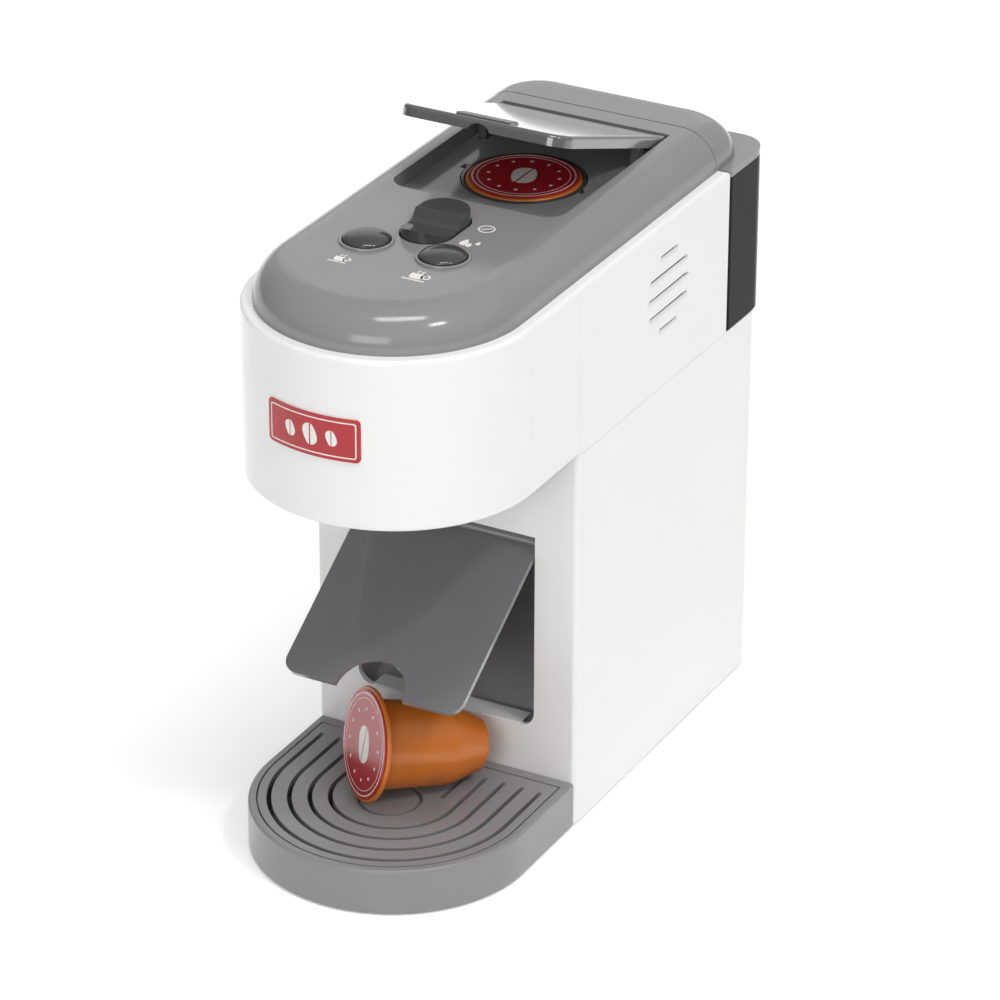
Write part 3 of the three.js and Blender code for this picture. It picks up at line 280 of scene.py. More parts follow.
def rounded(half, front, back, front_radius, back_radius, steps=10):
    """A rectangle across the machine with rounded corners."""
    return [
        *arc(front_radius - half, front + front_radius, front_radius, 180, 270, steps),
        *arc(half - front_radius, front + front_radius, front_radius, 270, 360, steps),
        *arc(half - back_radius, back - back_radius, back_radius, 0, 90, steps),
        *arc(back_radius - half, back - back_radius, back_radius, 90, 180, steps),
    ]


def stadium(half, front, back, steps):
    """A slot shape with a half-round front and back."""
    return [
        *arc(0, front + half, half, 180, 360, steps),
        *arc(0, back - half, half, 0, 180, steps),
    ]


def disc(cx, cy, radius, steps=48):
    """A circle of that many points."""
    return arc(cx, cy, radius, 0, 360 * (steps - 1) / steps, steps - 1)


def bar(x0, y0, x1, y1, width):
    """A straight bar of that width between two points."""
    length = math.hypot(x1 - x0, y1 - y0)
    ox, oy = -(y1 - y0) / length * width / 2, (x1 - x0) / length * width / 2
    return [(x0 - ox, y0 - oy), (x1 - ox, y1 - oy), (x1 + ox, y1 + oy), (x0 + ox, y0 + oy)]


def bean_half(side, gap, width, bend, height, steps, x=0.0, y=0.0, size=1.0):
    """The half of a coffee bean on one side of its curved seam."""
    return [(x + size * (side * gap + side * width * math.sin(a) - bend * math.sin(2 * a)),
             y + size * height * math.cos(a)) for a in evenly(math.pi, steps)]


# Closed solids as mesh objects


def added(name, data):
    """A new object in the scene for a mesh, a lamp or a camera."""
    piece = bpy.data.objects.new(name, data)
    bpy.context.scene.collection.objects.link(piece)
    return piece


def solid(name, points, faces):
    """A new object from points in millimetres, with its faces turned outwards."""
    mesh = bpy.data.meshes.new(name)
    mesh.from_pydata([(x * MM, y * MM + COLUMN_FRONT, z * MM) for x, y, z in points], [], faces)
    bm = bmesh.new()
    bm.from_mesh(mesh)
    bmesh.ops.remove_doubles(bm, verts=bm.verts, dist=1e-7)
    bmesh.ops.recalc_face_normals(bm, faces=bm.faces)
    bm.to_mesh(mesh)
    bm.free()
    return added(name, mesh)


def loft(name, levels):
    """A solid through level outlines, each given as its points and its height."""
    count = len(levels[0][0])
    points = [(x, y, z) for outline, z in levels for x, y in outline]
    faces = [tuple(reversed(range(count)))]
    for level in range(len(levels) - 1):
        low = level * count
        for side in range(count):
            following = (side + 1) % count
            faces.append((low + side, low + following, low + count + following, low + count + side))
    faces.append(tuple(range(len(points) - count, len(points))))
    return solid(name, points, faces)


def prism(name, outline, bottom, top):
    """An outline pulled up from one height to another."""
    return loft(name, [(outline, bottom), (outline, top)])


def block(name, x0, x1, y0, y1, z0, z1):
    """A plain box."""
    return prism(name, [(x0, y0), (x1, y0), (x1, y1), (x0, y1)], z0, z1)


def pulled(name, outline, axis, start, end):
    """An outline in the two other axes pulled along X or Y."""
    count = len(outline)
    if axis == "X":
        points = [(at, a, b) for at in (start, end) for a, b in outline]
    else:
        points = [(a, at, b) for at in (start, end) for a, b in outline]
    sides = [(s, (s + 1) % count, count + (s + 1) % count, count + s) for s in range(count)]
    ends = [tuple(range(count)), tuple(reversed(range(count, 2 * count)))]
    return solid(name, points, sides + ends)


def rod(name, reach, pivot, radius, steps=32):
    """A round bar across the machine, on a hinge's axis."""
    return pulled(name, disc(*pivot, radius, steps), "X", -reach, reach)


def turned(name, x, y, profile, steps=96):
    """A solid from radius and height pairs turned about an upright axis."""
    points, rings = [], []
    for radius, height in profile:
        if radius < 1e-6:
            rings.append([len(points)] * steps)
            points.append((x, y, height))
        else:
            rings.append(list(range(len(points), len(points) + steps)))
            points += [(px, py, height) for px, py in disc(x, y, radius, steps)]
    faces = []
    for low, high in zip(rings, rings[1:]):
        for side in range(steps):
            following = (side + 1) % steps
            corners = (low[side], low[following], high[following], high[side])
            face = tuple(dict.fromkeys(corners))
            if len(face) > 2:
                faces.append(face)
    return solid(name, points, faces)


def ring_band(cx, cy, radius, width, base, rise=PRINT, steps=64):
    """A flat ring about an upright axis."""
    inner, outer = radius - width / 2, radius + width / 2
    profile = [(inner, base), (outer, base), (outer, base + rise), (inner, base + rise),
               (inner, base)]
    return turned("ring", cx, cy, profile, steps)


def rounded_top(outline_at, bottom, base, top, steps):
    """Levels that round a top edge over, drawn in from the base to the top."""
    levels = [(outline_at(0), bottom)] if bottom < base else []
    for turn in evenly(math.pi / 2, steps):
        levels.append((outline_at((top - base) * (1 - math.cos(turn))),
                       base + (top - base) * math.sin(turn)))
    return levels


def settle(piece):
    """Turns a piece with its modifiers into a plain mesh."""
    graph = bpy.context.evaluated_depsgraph_get()
    mesh = bpy.data.meshes.new_from_object(
        piece.evaluated_get(graph), preserve_all_data_layers=True, depsgraph=graph)
    piece.modifiers.clear()
    old = piece.data
    piece.data = mesh
    bpy.data.meshes.remove(old)
    return piece


def combine(piece, tools, operation):
    """Applies tools to a piece, one after another, and removes them."""
    for tool in tools:
        modifier = piece.modifiers.new(tool.name, "BOOLEAN")
        modifier.operation = operation
        modifier.solver = "EXACT"
        modifier.object = tool
    settle(piece)
    for tool in tools:
        bpy.data.objects.remove(tool)
    return piece


def cut(piece, *tools):
    """Takes tools away from a piece."""
    return combine(piece, tools, "DIFFERENCE")


def join(piece, *tools):
    """Fuses tools to a piece."""
    return combine(piece, tools, "UNION")


def common(piece, *tools):
    """Keeps what a piece shares with its tools."""
    return combine(piece, tools, "INTERSECT")


def merge(name, *pieces):
    """Several separate bodies as one object, each left as it is."""
    bm = bmesh.new()
    for piece in pieces:
        bm.from_mesh(piece.data)
        bpy.data.objects.remove(piece)
    mesh = bpy.data.meshes.new(name)
    bm.to_mesh(mesh)
    bm.free()
    return added(name, mesh)


def copy_of(node, name):
    """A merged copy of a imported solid, ready for rounder edges."""
    bm = bmesh.new()
    bm.from_mesh(nodes[node].data)
    bmesh.ops.remove_doubles(bm, verts=bm.verts, dist=2e-6)
    bmesh.ops.dissolve_limit(bm, angle_limit=math.radians(0.5), verts=bm.verts, edges=bm.edges)
    mesh = bpy.data.meshes.new(name)
    bm.to_mesh(mesh)
    bm.free()
    return added(name, mesh)


def turn_about_x(piece, angle, pivot):
    """Turns a piece about a hinge's axis."""
    centre = Vector((0, pivot[0] * MM + COLUMN_FRONT, pivot[1] * MM))
    turn = Matrix.Translation(centre) @ Matrix.Rotation(angle, 4, "X") @ Matrix.Translation(-centre)
    piece.data.transform(turn)
    return piece


def near_round(x, y, half, centre):
    """Whether a place is on the side or the round front of a half-round outline."""
    return math.hypot(x, min(y - centre, 0)) > half - 0.1


def soften(piece, radius, chosen):
    """Rounds the edges whose ends and middle pass a test on their place in millimetres."""

    def passes(point):
        return chosen(point.x / MM, (point.y - COLUMN_FRONT) / MM, point.z / MM)

    bm = bmesh.new()
    bm.from_mesh(piece.data)
    edges = [e for e in bm.edges
             if len(e.link_faces) == 2 and e.calc_face_angle() > math.radians(30)
             and passes(e.verts[0].co) and passes(e.verts[1].co)
             and passes((e.verts[0].co + e.verts[1].co) / 2)]
    bmesh.ops.bevel(bm, geom=edges, offset=radius * MM, segments=5, profile=0.5,
                    affect="EDGES", clamp_overlap=True)
    bm.to_mesh(piece.data)
    bm.free()
    return piece


def dress(piece, material, body, replaced=(), edge=0.0, angle=32):
    """Rounds a piece's edges, shades it, gives it its finish and hangs it on its body."""
    if edge:
        bevel = piece.modifiers.new("Edge", "BEVEL")
        bevel.width = edge
        bevel.segments = 3
        bevel.limit_method = "ANGLE"
        bevel.angle_limit = math.radians(angle)
        bevel.use_clamp_overlap = True
        bevel.harden_normals = False
        settle(piece)
    piece.data.polygons.foreach_set("use_smooth", [True] * len(piece.data.polygons))
    piece.data.set_sharp_from_angle(angle=math.radians(angle + 8))
    weighted = piece.modifiers.new("Shading", "WEIGHTED_NORMAL")
    weighted.keep_sharp = True
    weighted.weight = 60
    settle(piece)
    piece.data.materials.clear()
    piece.data.materials.append(material)
    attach(piece, body)
    if replaced:
        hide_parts(*replaced)
    return piece


# Node trees


def wire(tree, node, inputs):
    """Links a node's inputs to the sockets given for them, or sets them to the values."""
    for key, given in inputs.items():
        for one in given if isinstance(given, list) else [given]:
            if isinstance(one, bpy.types.NodeSocket):
                tree.links.new(one, node.inputs[key])
            else:
                node.inputs[key].default_value = one


def add_node(tree, kind, inputs=None, **settings):
    """A new node with its settings and its inputs."""
    made = tree.nodes.new(kind)
    for key, value in settings.items():
        setattr(made, key, value)
    wire(tree, made, inputs or {})
    return made


def calc(tree, operation, a, b=0.0):
    """What a Math node makes of one or two values."""
    return add_node(tree, "ShaderNodeMath", {0: a, 1: b}, operation=operation).outputs[0]


class Tree:
    """A geometry node tree under construction."""

    def __init__(self, name, sockets):
        self.group = bpy.data.node_groups.new(name, "GeometryNodeTree")
        interface = self.group.interface
        interface.new_socket("Geometry", in_out="OUTPUT", socket_type="NodeSocketGeometry")
        for label, kind in {"Geometry": "Geometry", **sockets, "Material": "Material"}.items():
            interface.new_socket(label, in_out="INPUT", socket_type=f"NodeSocket{kind}")
        self.given = self.group.nodes.new("NodeGroupInput").outputs

    def node(self, kind, inputs=None, **settings):
        return add_node(self.group, kind, inputs, **settings)

    def calc(self, operation, a, b=0.0):
        return calc(self.group, operation, a, b)

    def vector(self, x=0.0, y=0.0, z=0.0):
        return self.node("ShaderNodeCombineXYZ", {0: x, 1: y, 2: z}).outputs[0]

    def box(self, x, y, z):
        size = self.vector(x, y, z)
        return self.node("GeometryNodeMeshCube", {"Size": size}).outputs["Mesh"]

    def cylinder(self, radius, depth, steps=24):
        made = self.node(
            "GeometryNodeMeshCylinder", {"Radius": radius, "Depth": depth, "Vertices": steps})
        return made.outputs["Mesh"]

    def moved(self, geometry, place):
        made = self.node("GeometryNodeTransform", {"Geometry": geometry, "Translation": place})
        return made.outputs[0]

    def line(self, count, start, step):
        made = self.node(
            "GeometryNodeMeshLine", {"Count": count, "Start Location": start, "Offset": step})
        return made.outputs[0]

    def placed(self, points, instance, **extra):
        made = self.node(
            "GeometryNodeInstanceOnPoints", {"Points": points, "Instance": instance, **extra})
        return made.outputs[0]

    def joined(self, *parts):
        return self.node("GeometryNodeJoinGeometry", {0: list(parts)}).outputs[0]

    def real(self, geometry):
        return self.node("GeometryNodeRealizeInstances", {"Geometry": geometry}).outputs[0]

    def carved(self, whole, tools):
        made = self.node(
            "GeometryNodeMeshBoolean",
            {"Mesh 1": whole, "Mesh 2": self.real(tools), "Self Intersection": True},
            operation="DIFFERENCE", solver="EXACT")
        return made.outputs[0]

    def vents(self):
        """Points at the middles of the vents from the top down, and each vent's length."""
        rise = self.vector(z=self.calc("MULTIPLY", self.given["Pitch"], len(VENT_ROWS) // 2))
        down = self.vector(z=self.calc("MULTIPLY", self.given["Pitch"], -1.0))
        start = self.node("ShaderNodeVectorMath", {0: self.given["Middle"], 1: rise},
                          operation="ADD")
        pick = self.node("GeometryNodeIndexSwitch", data_type="FLOAT")
        while len(pick.index_switch_items) < len(VENT_ROWS):
            pick.index_switch_items.new()
        index = self.node("GeometryNodeInputIndex").outputs[0]
        lengths = {row + 1: self.given[label] for row, label in enumerate(VENT_ROWS)}
        wire(self.group, pick, {"Index": index, **lengths})
        return self.line(len(VENT_ROWS), start.outputs[0], down), pick.outputs[0]

    def close(self, geometry):
        """Ends the tree in real geometry with its material."""
        made = self.node("GeometryNodeSetMaterial", {
            "Geometry": self.real(geometry), "Material": self.given["Material"]})
        self.node("NodeGroupOutput", {0: made.outputs[0]})
        return self.group


def grow(piece, tree, **values):
    """Runs a tree on a piece with its inputs set, and keeps the plain mesh."""
    modifier = piece.modifiers.new(tree.name, "NODES")
    modifier.node_group = tree
    for item in tree.interface.items_tree:
        key = item.name.lower().replace(" ", "_")
        if item.in_out == "INPUT" and key in values:
            modifier[item.identifier] = values[key]
    return settle(piece)


# The vents from the top down, and what their two trees take in
VENT_ROWS = ("Shortest", "Longer", "Longest", "Longer", "Shortest")
VENT_INPUTS = {"Pitch": "Float", "Shortest": "Float", "Longer": "Float", "Longest": "Float",
               "Middle": "Vector"}


def vent_tree():
    """Cuts rows of round-ended vents through both sides of a housing."""
    tree = Tree("Side Vents", {**VENT_INPUTS, "Height": "Float", "Depth": "Float"})
    given = tree.given
    rows, length = tree.vents()
    straight = tree.calc("SUBTRACT", length, given["Height"])
    reach = tree.calc("MULTIPLY", straight, 0.5)
    slab = tree.box(given["Depth"], 1.0, given["Height"])
    parts = [tree.placed(rows, slab, Scale=tree.vector(1.0, straight, 1.0))]
    end = tree.cylinder(tree.calc("MULTIPLY", given["Height"], 0.5), given["Depth"])
    for side in SIDES:
        shift = tree.vector(y=tree.calc("MULTIPLY", reach, side))
        ends = tree.node("GeometryNodeSetPosition", {"Geometry": rows, "Offset": shift})
        parts.append(tree.placed(ends.outputs[0], end, Rotation=(0, math.pi / 2, 0)))
    return tree.close(tree.carved(given["Geometry"], tree.joined(*parts)))


def blade_tree():
    """Sets a sloped blade in each vent of one side, open along its top edge."""
    tree = Tree("Vent Blades", {
        **VENT_INPUTS, "Wall": "Float", "Reach": "Float", "Thickness": "Float", "Tilt": "Float"})
    given = tree.given
    rows, length = tree.vents()
    blade = tree.box(tree.calc("MULTIPLY", given["Wall"], given["Reach"]), 1.0, given["Thickness"])
    return tree.close(tree.placed(
        rows, blade, Rotation=tree.vector(y=given["Tilt"]), Scale=tree.vector(1.0, length, 1.0)))


def grille_tree():
    """Cuts slots that run forward, round the front and back again, and the short slots inside."""
    tree = Tree("Grille Slots", {
        "Rings": "Int", "Width": "Float", "Pitch": "Float", "Outer Radius": "Float",
        "Centre Y": "Float", "Start Y": "Float", "First Short Y": "Float",
        "Second Short Y": "Float", "Height": "Float", "Depth": "Float"})
    given = tree.given

    def legs(radius, front):
        """Two straight slots with round ends, one on each side."""
        length = tree.calc("SUBTRACT", given["Start Y"], front)
        middle = tree.calc("MULTIPLY", tree.calc("ADD", given["Start Y"], front), 0.5)
        across = tree.vector(tree.calc("MULTIPLY", radius, 2.0))
        left = tree.calc("MULTIPLY", radius, -1.0)
        slab = tree.box(given["Width"], length, given["Depth"])
        end = tree.cylinder(tree.calc("MULTIPLY", given["Width"], 0.5), given["Depth"])
        pairs = [tree.line(2, tree.vector(left, y, given["Height"]), across)
                 for y in (middle, given["Start Y"], front)]
        tools = (slab, end, end)
        return tree.joined(*[tree.placed(pair, tool) for pair, tool in zip(pairs, tools)])

    start = tree.node("GeometryNodeRepeatInput")
    end = tree.node("GeometryNodeRepeatOutput")
    start.pair_with_output(end)
    wire(tree.group, start, {"Iterations": given["Rings"]})
    step = tree.calc("MULTIPLY", start.outputs["Iteration"], given["Pitch"])
    radius = tree.calc("SUBTRACT", given["Outer Radius"], step)

    # A bar 1 m long about the origin, bent to a half circle by its place along X
    straight = tree.node("GeometryNodeMeshCube", {
        "Size": tree.vector(1.0, given["Width"], given["Depth"]), "Vertices X": 65})
    point = tree.node("GeometryNodeInputPosition").outputs[0]
    place = tree.node("ShaderNodeSeparateXYZ", {0: point})
    angle = tree.calc("MULTIPLY", tree.calc("ADD", place.outputs[0], 1.5), math.pi)
    reach = tree.calc("SUBTRACT", radius, place.outputs[1])
    across, forward = [tree.calc("MULTIPLY", tree.calc(turn, angle), reach)
                       for turn in ("COSINE", "SINE")]
    bent = tree.node("GeometryNodeSetPosition", {
        "Geometry": straight.outputs["Mesh"],
        "Position": tree.vector(
            across, tree.calc("ADD", given["Centre Y"], forward),
            tree.calc("ADD", given["Height"], place.outputs[2]))})
    ring = tree.joined(start.outputs["Geometry"], bent.outputs[0], legs(radius, given["Centre Y"]))
    wire(tree.group, end, {"Geometry": ring})

    parts = [end.outputs["Geometry"]]
    for extra, label in enumerate(("First Short Y", "Second Short Y")):
        steps = tree.calc("ADD", given["Rings"], extra)
        inner = tree.calc(
            "SUBTRACT", given["Outer Radius"], tree.calc("MULTIPLY", steps, given["Pitch"]))
        parts.append(legs(inner, given[label]))
    return tree.close(tree.carved(given["Geometry"], tree.joined(*parts)))


def rib_tree():
    """Lays ribs one behind another from a first place."""
    tree = Tree("Grip Ribs", {
        "Count": "Int", "Length": "Float", "Pitch": "Float", "Rise": "Float", "First": "Vector"})
    given = tree.given
    rows = tree.line(given["Count"], given["First"], tree.vector(y=given["Pitch"]))
    thick = tree.calc("MULTIPLY", given["Pitch"], 0.5)
    return tree.close(tree.placed(rows, tree.box(given["Length"], thick, given["Rise"])))


def screw_tree():
    """Sets a cross-slotted screw head at each point of a mesh."""
    tree = Tree("Screw Heads", {
        "Radius": "Float", "Thickness": "Float", "Slot Width": "Float", "Shank": "Float"})
    given = tree.given
    head = tree.cylinder(given["Radius"], given["Thickness"], 40)
    length = tree.calc("MULTIPLY", given["Radius"], 1.3)
    depth = tree.calc("MULTIPLY", given["Thickness"], 1.2)
    low = tree.vector(z=tree.calc("MULTIPLY", given["Thickness"], -0.5))
    slots = tree.joined(
        tree.moved(tree.box(length, given["Slot Width"], depth), low),
        tree.moved(tree.box(given["Slot Width"], length, depth), low))
    shank = tree.cylinder(tree.calc("MULTIPLY", given["Radius"], 0.46), given["Shank"], 20)
    up = tree.vector(z=tree.calc("MULTIPLY", given["Shank"], 0.5))
    screw = tree.joined(tree.carved(head, slots), tree.moved(shank, up))
    return tree.close(tree.placed(given["Geometry"], screw))


# Finishes


def shader(name):
    """A new material with its node tree and its main shader."""
    material = bpy.data.materials.new(name)
    material.use_nodes = True
    return material, material.node_tree, material.node_tree.nodes["Principled BSDF"]


def paint(red, green, blue):
    """A screen colour for a colour socket."""
    return (*colour(red, green, blue), 1)


def own_place(tree):
    """The object's own coordinates."""
    return tree.nodes.new("ShaderNodeTexCoord").outputs["Object"]


def noise(tree, size, detail=2.0, stretch=None):
    """Noise with features of that size in millimetres."""
    place = own_place(tree)
    if stretch:
        place = add_node(tree, "ShaderNodeMapping", {0: place, "Scale": stretch}).outputs[0]
    made = add_node(tree, "ShaderNodeTexNoise", {
        "Vector": place, "Scale": 1 / (size * MM), "Detail": detail})
    return made.outputs["Fac"]


def laid(tree, value, source, target):
    """A value moved from one range to another."""
    made = add_node(tree, "ShaderNodeMapRange", {
        "Value": value, "From Min": source[0], "From Max": source[1],
        "To Min": target[0], "To Max": target[1]})
    return made.outputs[0]


def spread(tree, value, low, high):
    """A noise value laid over a range."""
    return laid(tree, value, (0.3, 0.7), (low, high))


def patches(tree, size, low, high):
    """A value that drifts over a range in soft patches of that size."""
    return spread(tree, noise(tree, size), low, high)


def mixed(tree, share, first, second):
    """A colour between two."""
    made = add_node(tree, "ShaderNodeMix", {0: share, 6: first, 7: second}, data_type="RGBA")
    return made.outputs[2]


def mottled(tree, tint, size, amount):
    """A colour that is slightly darker and lighter in soft patches."""
    darker = (*[c * (1 - amount) for c in tint], 1)
    lighter = (*[min(1, c * (1 + amount)) for c in tint], 1)
    return mixed(tree, patches(tree, size, 0, 1), darker, lighter)


def relief(tree, height, depth):
    """A surface raised by a height value, up to a depth in millimetres."""
    return add_node(tree, "ShaderNodeBump", {"Distance": depth * MM, "Height": height}).outputs[0]


def moulded(name, tint, roughness, *, grain, depth, patch, uneven, coat=0.0, specular=0.5):
    """Moulded plastic: slight colour drift, uneven gloss and a fine grain."""
    material, tree, principled = shader(name)
    wire(tree, principled, {
        "Base Color": mottled(tree, tint, patch, uneven),
        "Roughness": patches(tree, 6, roughness - 0.03, roughness + 0.03),
        "Normal": relief(tree, noise(tree, grain, 3), depth),
        "Specular IOR Level": specular,
        "Coat Weight": coat,
        "Coat Roughness": 0.08})
    return material


def smoked():
    """Dark see-through plastic of the water tank."""
    material, tree, principled = shader("Smoked Clear Plastic")
    wire(tree, principled, {
        "Base Color": mottled(tree, colour(36, 36, 38), 30, 0.04),
        "Roughness": patches(tree, 8, 0.12, 0.2),
        "Normal": relief(tree, noise(tree, 14), 0.004),
        "Transmission Weight": 0.05,
        "Specular IOR Level": 0.03,
        "IOR": 1.46})
    return material


def drawn_steel():
    """Steel of pins, screws and contacts, drawn along the machine's width."""
    material, tree, principled = shader("Drawn Steel")
    streaks = noise(tree, 0.4, 4, (0.06, 1, 1))
    wire(tree, principled, {
        "Base Color": mottled(tree, colour(188, 190, 194), 4, 0.06),
        "Roughness": spread(tree, streaks, 0.3, 0.44),
        "Normal": relief(tree, streaks, 0.004),
        "Metallic": 1})
    return material


def circuit_board():
    """Green board with lighter tracks in a square pattern."""
    material, tree, principled = shader("Circuit Board")
    brick = add_node(tree, "ShaderNodeTexBrick", {
        "Vector": own_place(tree), "Scale": 180, "Mortar Size": 0.04,
        "Color1": paint(36, 96, 58), "Color2": paint(30, 84, 50), "Mortar": paint(92, 146, 92)})
    wire(tree, principled, {
        "Base Color": brick.outputs["Color"],
        "Roughness": patches(tree, 3, 0.3, 0.42),
        "Normal": relief(tree, brick.outputs["Fac"], 0.02)})
    return material


def cell_wrap():
    """Plain battery wrap: a dark sleeve with a copper-coloured band at its front end."""
    material, tree, principled = shader("Battery Wrap")
    place = add_node(tree, "ShaderNodeSeparateXYZ", {0: own_place(tree)})
    band_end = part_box("battery_cell_2")[0].y + 14 * MM
    band = calc(tree, "LESS_THAN", place.outputs["Y"], band_end)
    wire(tree, principled, {
        "Base Color": mixed(tree, band, paint(36, 36, 38), paint(178, 112, 62)),
        "Roughness": patches(tree, 5, 0.3, 0.4),
        "Normal": relief(tree, noise(tree, 2), 0.01)})
    return material


def speaker_cloth():
    """Black woven front of the speaker."""
    material, tree, principled = shader("Speaker Weave")
    checks = add_node(tree, "ShaderNodeTexChecker", {
        "Vector": own_place(tree), "Scale": 1 / (0.9 * MM),
        "Color1": paint(24, 24, 26), "Color2": paint(44, 44, 46)})
    wire(tree, principled, {
        "Base Color": checks.outputs["Color"],
        "Roughness": patches(tree, 1, 0.75, 0.95),
        "Normal": relief(tree, checks.outputs["Fac"], 0.1)})
    return material


def make_finishes(look):
    """Every finish of the machine by its name."""
    grain = look.grain / MM
    return {
        "white": moulded("Glossy White Plastic", look.white[:], 0.2,
                         grain=grain * 2, depth=0.004, patch=40, uneven=0.006),
        "grey": moulded("Deck Grey Plastic", look.grey[:], 0.14,
                        grain=grain * 1.5, depth=0.003, patch=26, uneven=0.015, specular=0.38),
        "tray": moulded("Tray Grey Plastic", look.grey[:], 0.33,
                        grain=grain * 2, depth=0.003, patch=26, uneven=0.02),
        "flap": moulded("Flap Grey Plastic", colour(122, 121, 123), 0.16,
                        grain=grain, depth=0.003, patch=20, uneven=0.02, coat=0.6),
        "liner": moulded("Chute Grey Plastic", colour(176, 174, 174), 0.35,
                         grain=grain, depth=0.008, patch=20, uneven=0.03),
        "dark": moulded("Knob Dark Plastic", look.dark[:], 0.12,
                        grain=grain * 2, depth=0.003, patch=14, uneven=0.02),
        "lid": moulded("Lid Gloss Plastic", look.lid[:], 0.15,
                       grain=grain * 3, depth=0.002, patch=26, uneven=0.01, coat=1.0),
        "orange": moulded("Capsule Orange Plastic", look.orange[:], 0.31,
                          grain=grain, depth=0.004, patch=9, uneven=0.05),
        "red": moulded("Label Red Print", look.red[:], 0.22,
                       grain=grain, depth=0.003, patch=12, uneven=0.03),
        "print": moulded("White Print", colour(240, 236, 232), 0.4,
                         grain=grain * 0.5, depth=0.004, patch=8, uneven=0.02),
        "black": moulded("Black Plastic", colour(38, 38, 40), 0.45,
                         grain=grain * 0.5, depth=0.01, patch=12, uneven=0.08),
        "rubber": moulded("Foot Rubber", colour(34, 34, 35), 0.8,
                          grain=grain * 0.5, depth=0.03, patch=8, uneven=0.1),
        "hose": moulded("Hose Vinyl", colour(216, 218, 216), 0.33,
                        grain=grain, depth=0.01, patch=10, uneven=0.03),
        "inner": moulded("Inner Grey Plastic", colour(150, 149, 150), 0.5,
                         grain=grain, depth=0.015, patch=16, uneven=0.04),
        "smoke": smoked(),
        "steel": drawn_steel(),
        "board": circuit_board(),
        "cell": cell_wrap(),
        "speaker": speaker_cloth(),
    }


FINISHES = {}


def finish(name):
    """The finish of that name, made on first use."""
    if not FINISHES:
        FINISHES.update(make_finishes(bpy.context.scene.coffee_finishes))
    return FINISHES[name]


def repaint(node, name):
    """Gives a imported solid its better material."""
    nodes[node].data.materials.clear()
    nodes[node].data.materials.append(finish(name))


# Pieces


class COFFEE_OT_column(bpy.types.Operator):
    """Build the lower housing with its front recess, and the chute liner behind it"""

    bl_idname = "coffee.column"
    bl_label = "Column"
    bl_options = {"REGISTER", "UNDO"}

    def execute(self, context):
        edge = context.scene.coffee_edges

        def outline(inset):
            return rounded(HALF - inset, inset, COLUMN_DEPTH - inset, max(2 - inset, 0.5),
                           12 - inset, 12)

        shell = prism("lower_housing_shell", outline(0), FOOT_HEIGHT, SPLIT)
        mouth = rounded(INNER_HALF, WALL, BULKHEAD - WALL, 0.5, 0.5)
        cut(shell, prism("inside", outline(WALL), -4, SPLIT - WALL),
            prism("mouth", mouth, SPLIT - 5, SPLIT + 5))
        half, corner = RECESS["half"], RECESS["corner"]
        straight, corner_z = half - corner, RECESS["bottom"] + corner
        recess = [*arc(-straight, corner_z, corner, 180, 270, 12),
                  *arc(straight, corner_z, corner, 270, 360, 12),
                  (half, RECESS["top"]), (-half, RECESS["top"])]
        cut(shell, pulled("recess", recess, "Y", -5, 7),
            prism("valve_hole", disc(0, VALVE_Y, 7.7), SPLIT - 6, SPLIT + 6))
        dress(shell, finish("white"), "housing", ["lower_housing"], edge.shell)
        sill = block("recess_sill", -straight, straight, 0.6, 9,
                     RECESS["bottom"] + 0.05, RECESS["bottom"] + 0.4)
        dress(sill, finish("white"), "housing")
        liner = copy_of("chute_liner", "chute_lining")
        dress(liner, finish("liner"), "housing", ["chute_liner"], edge.fine)
        return {"FINISHED"}


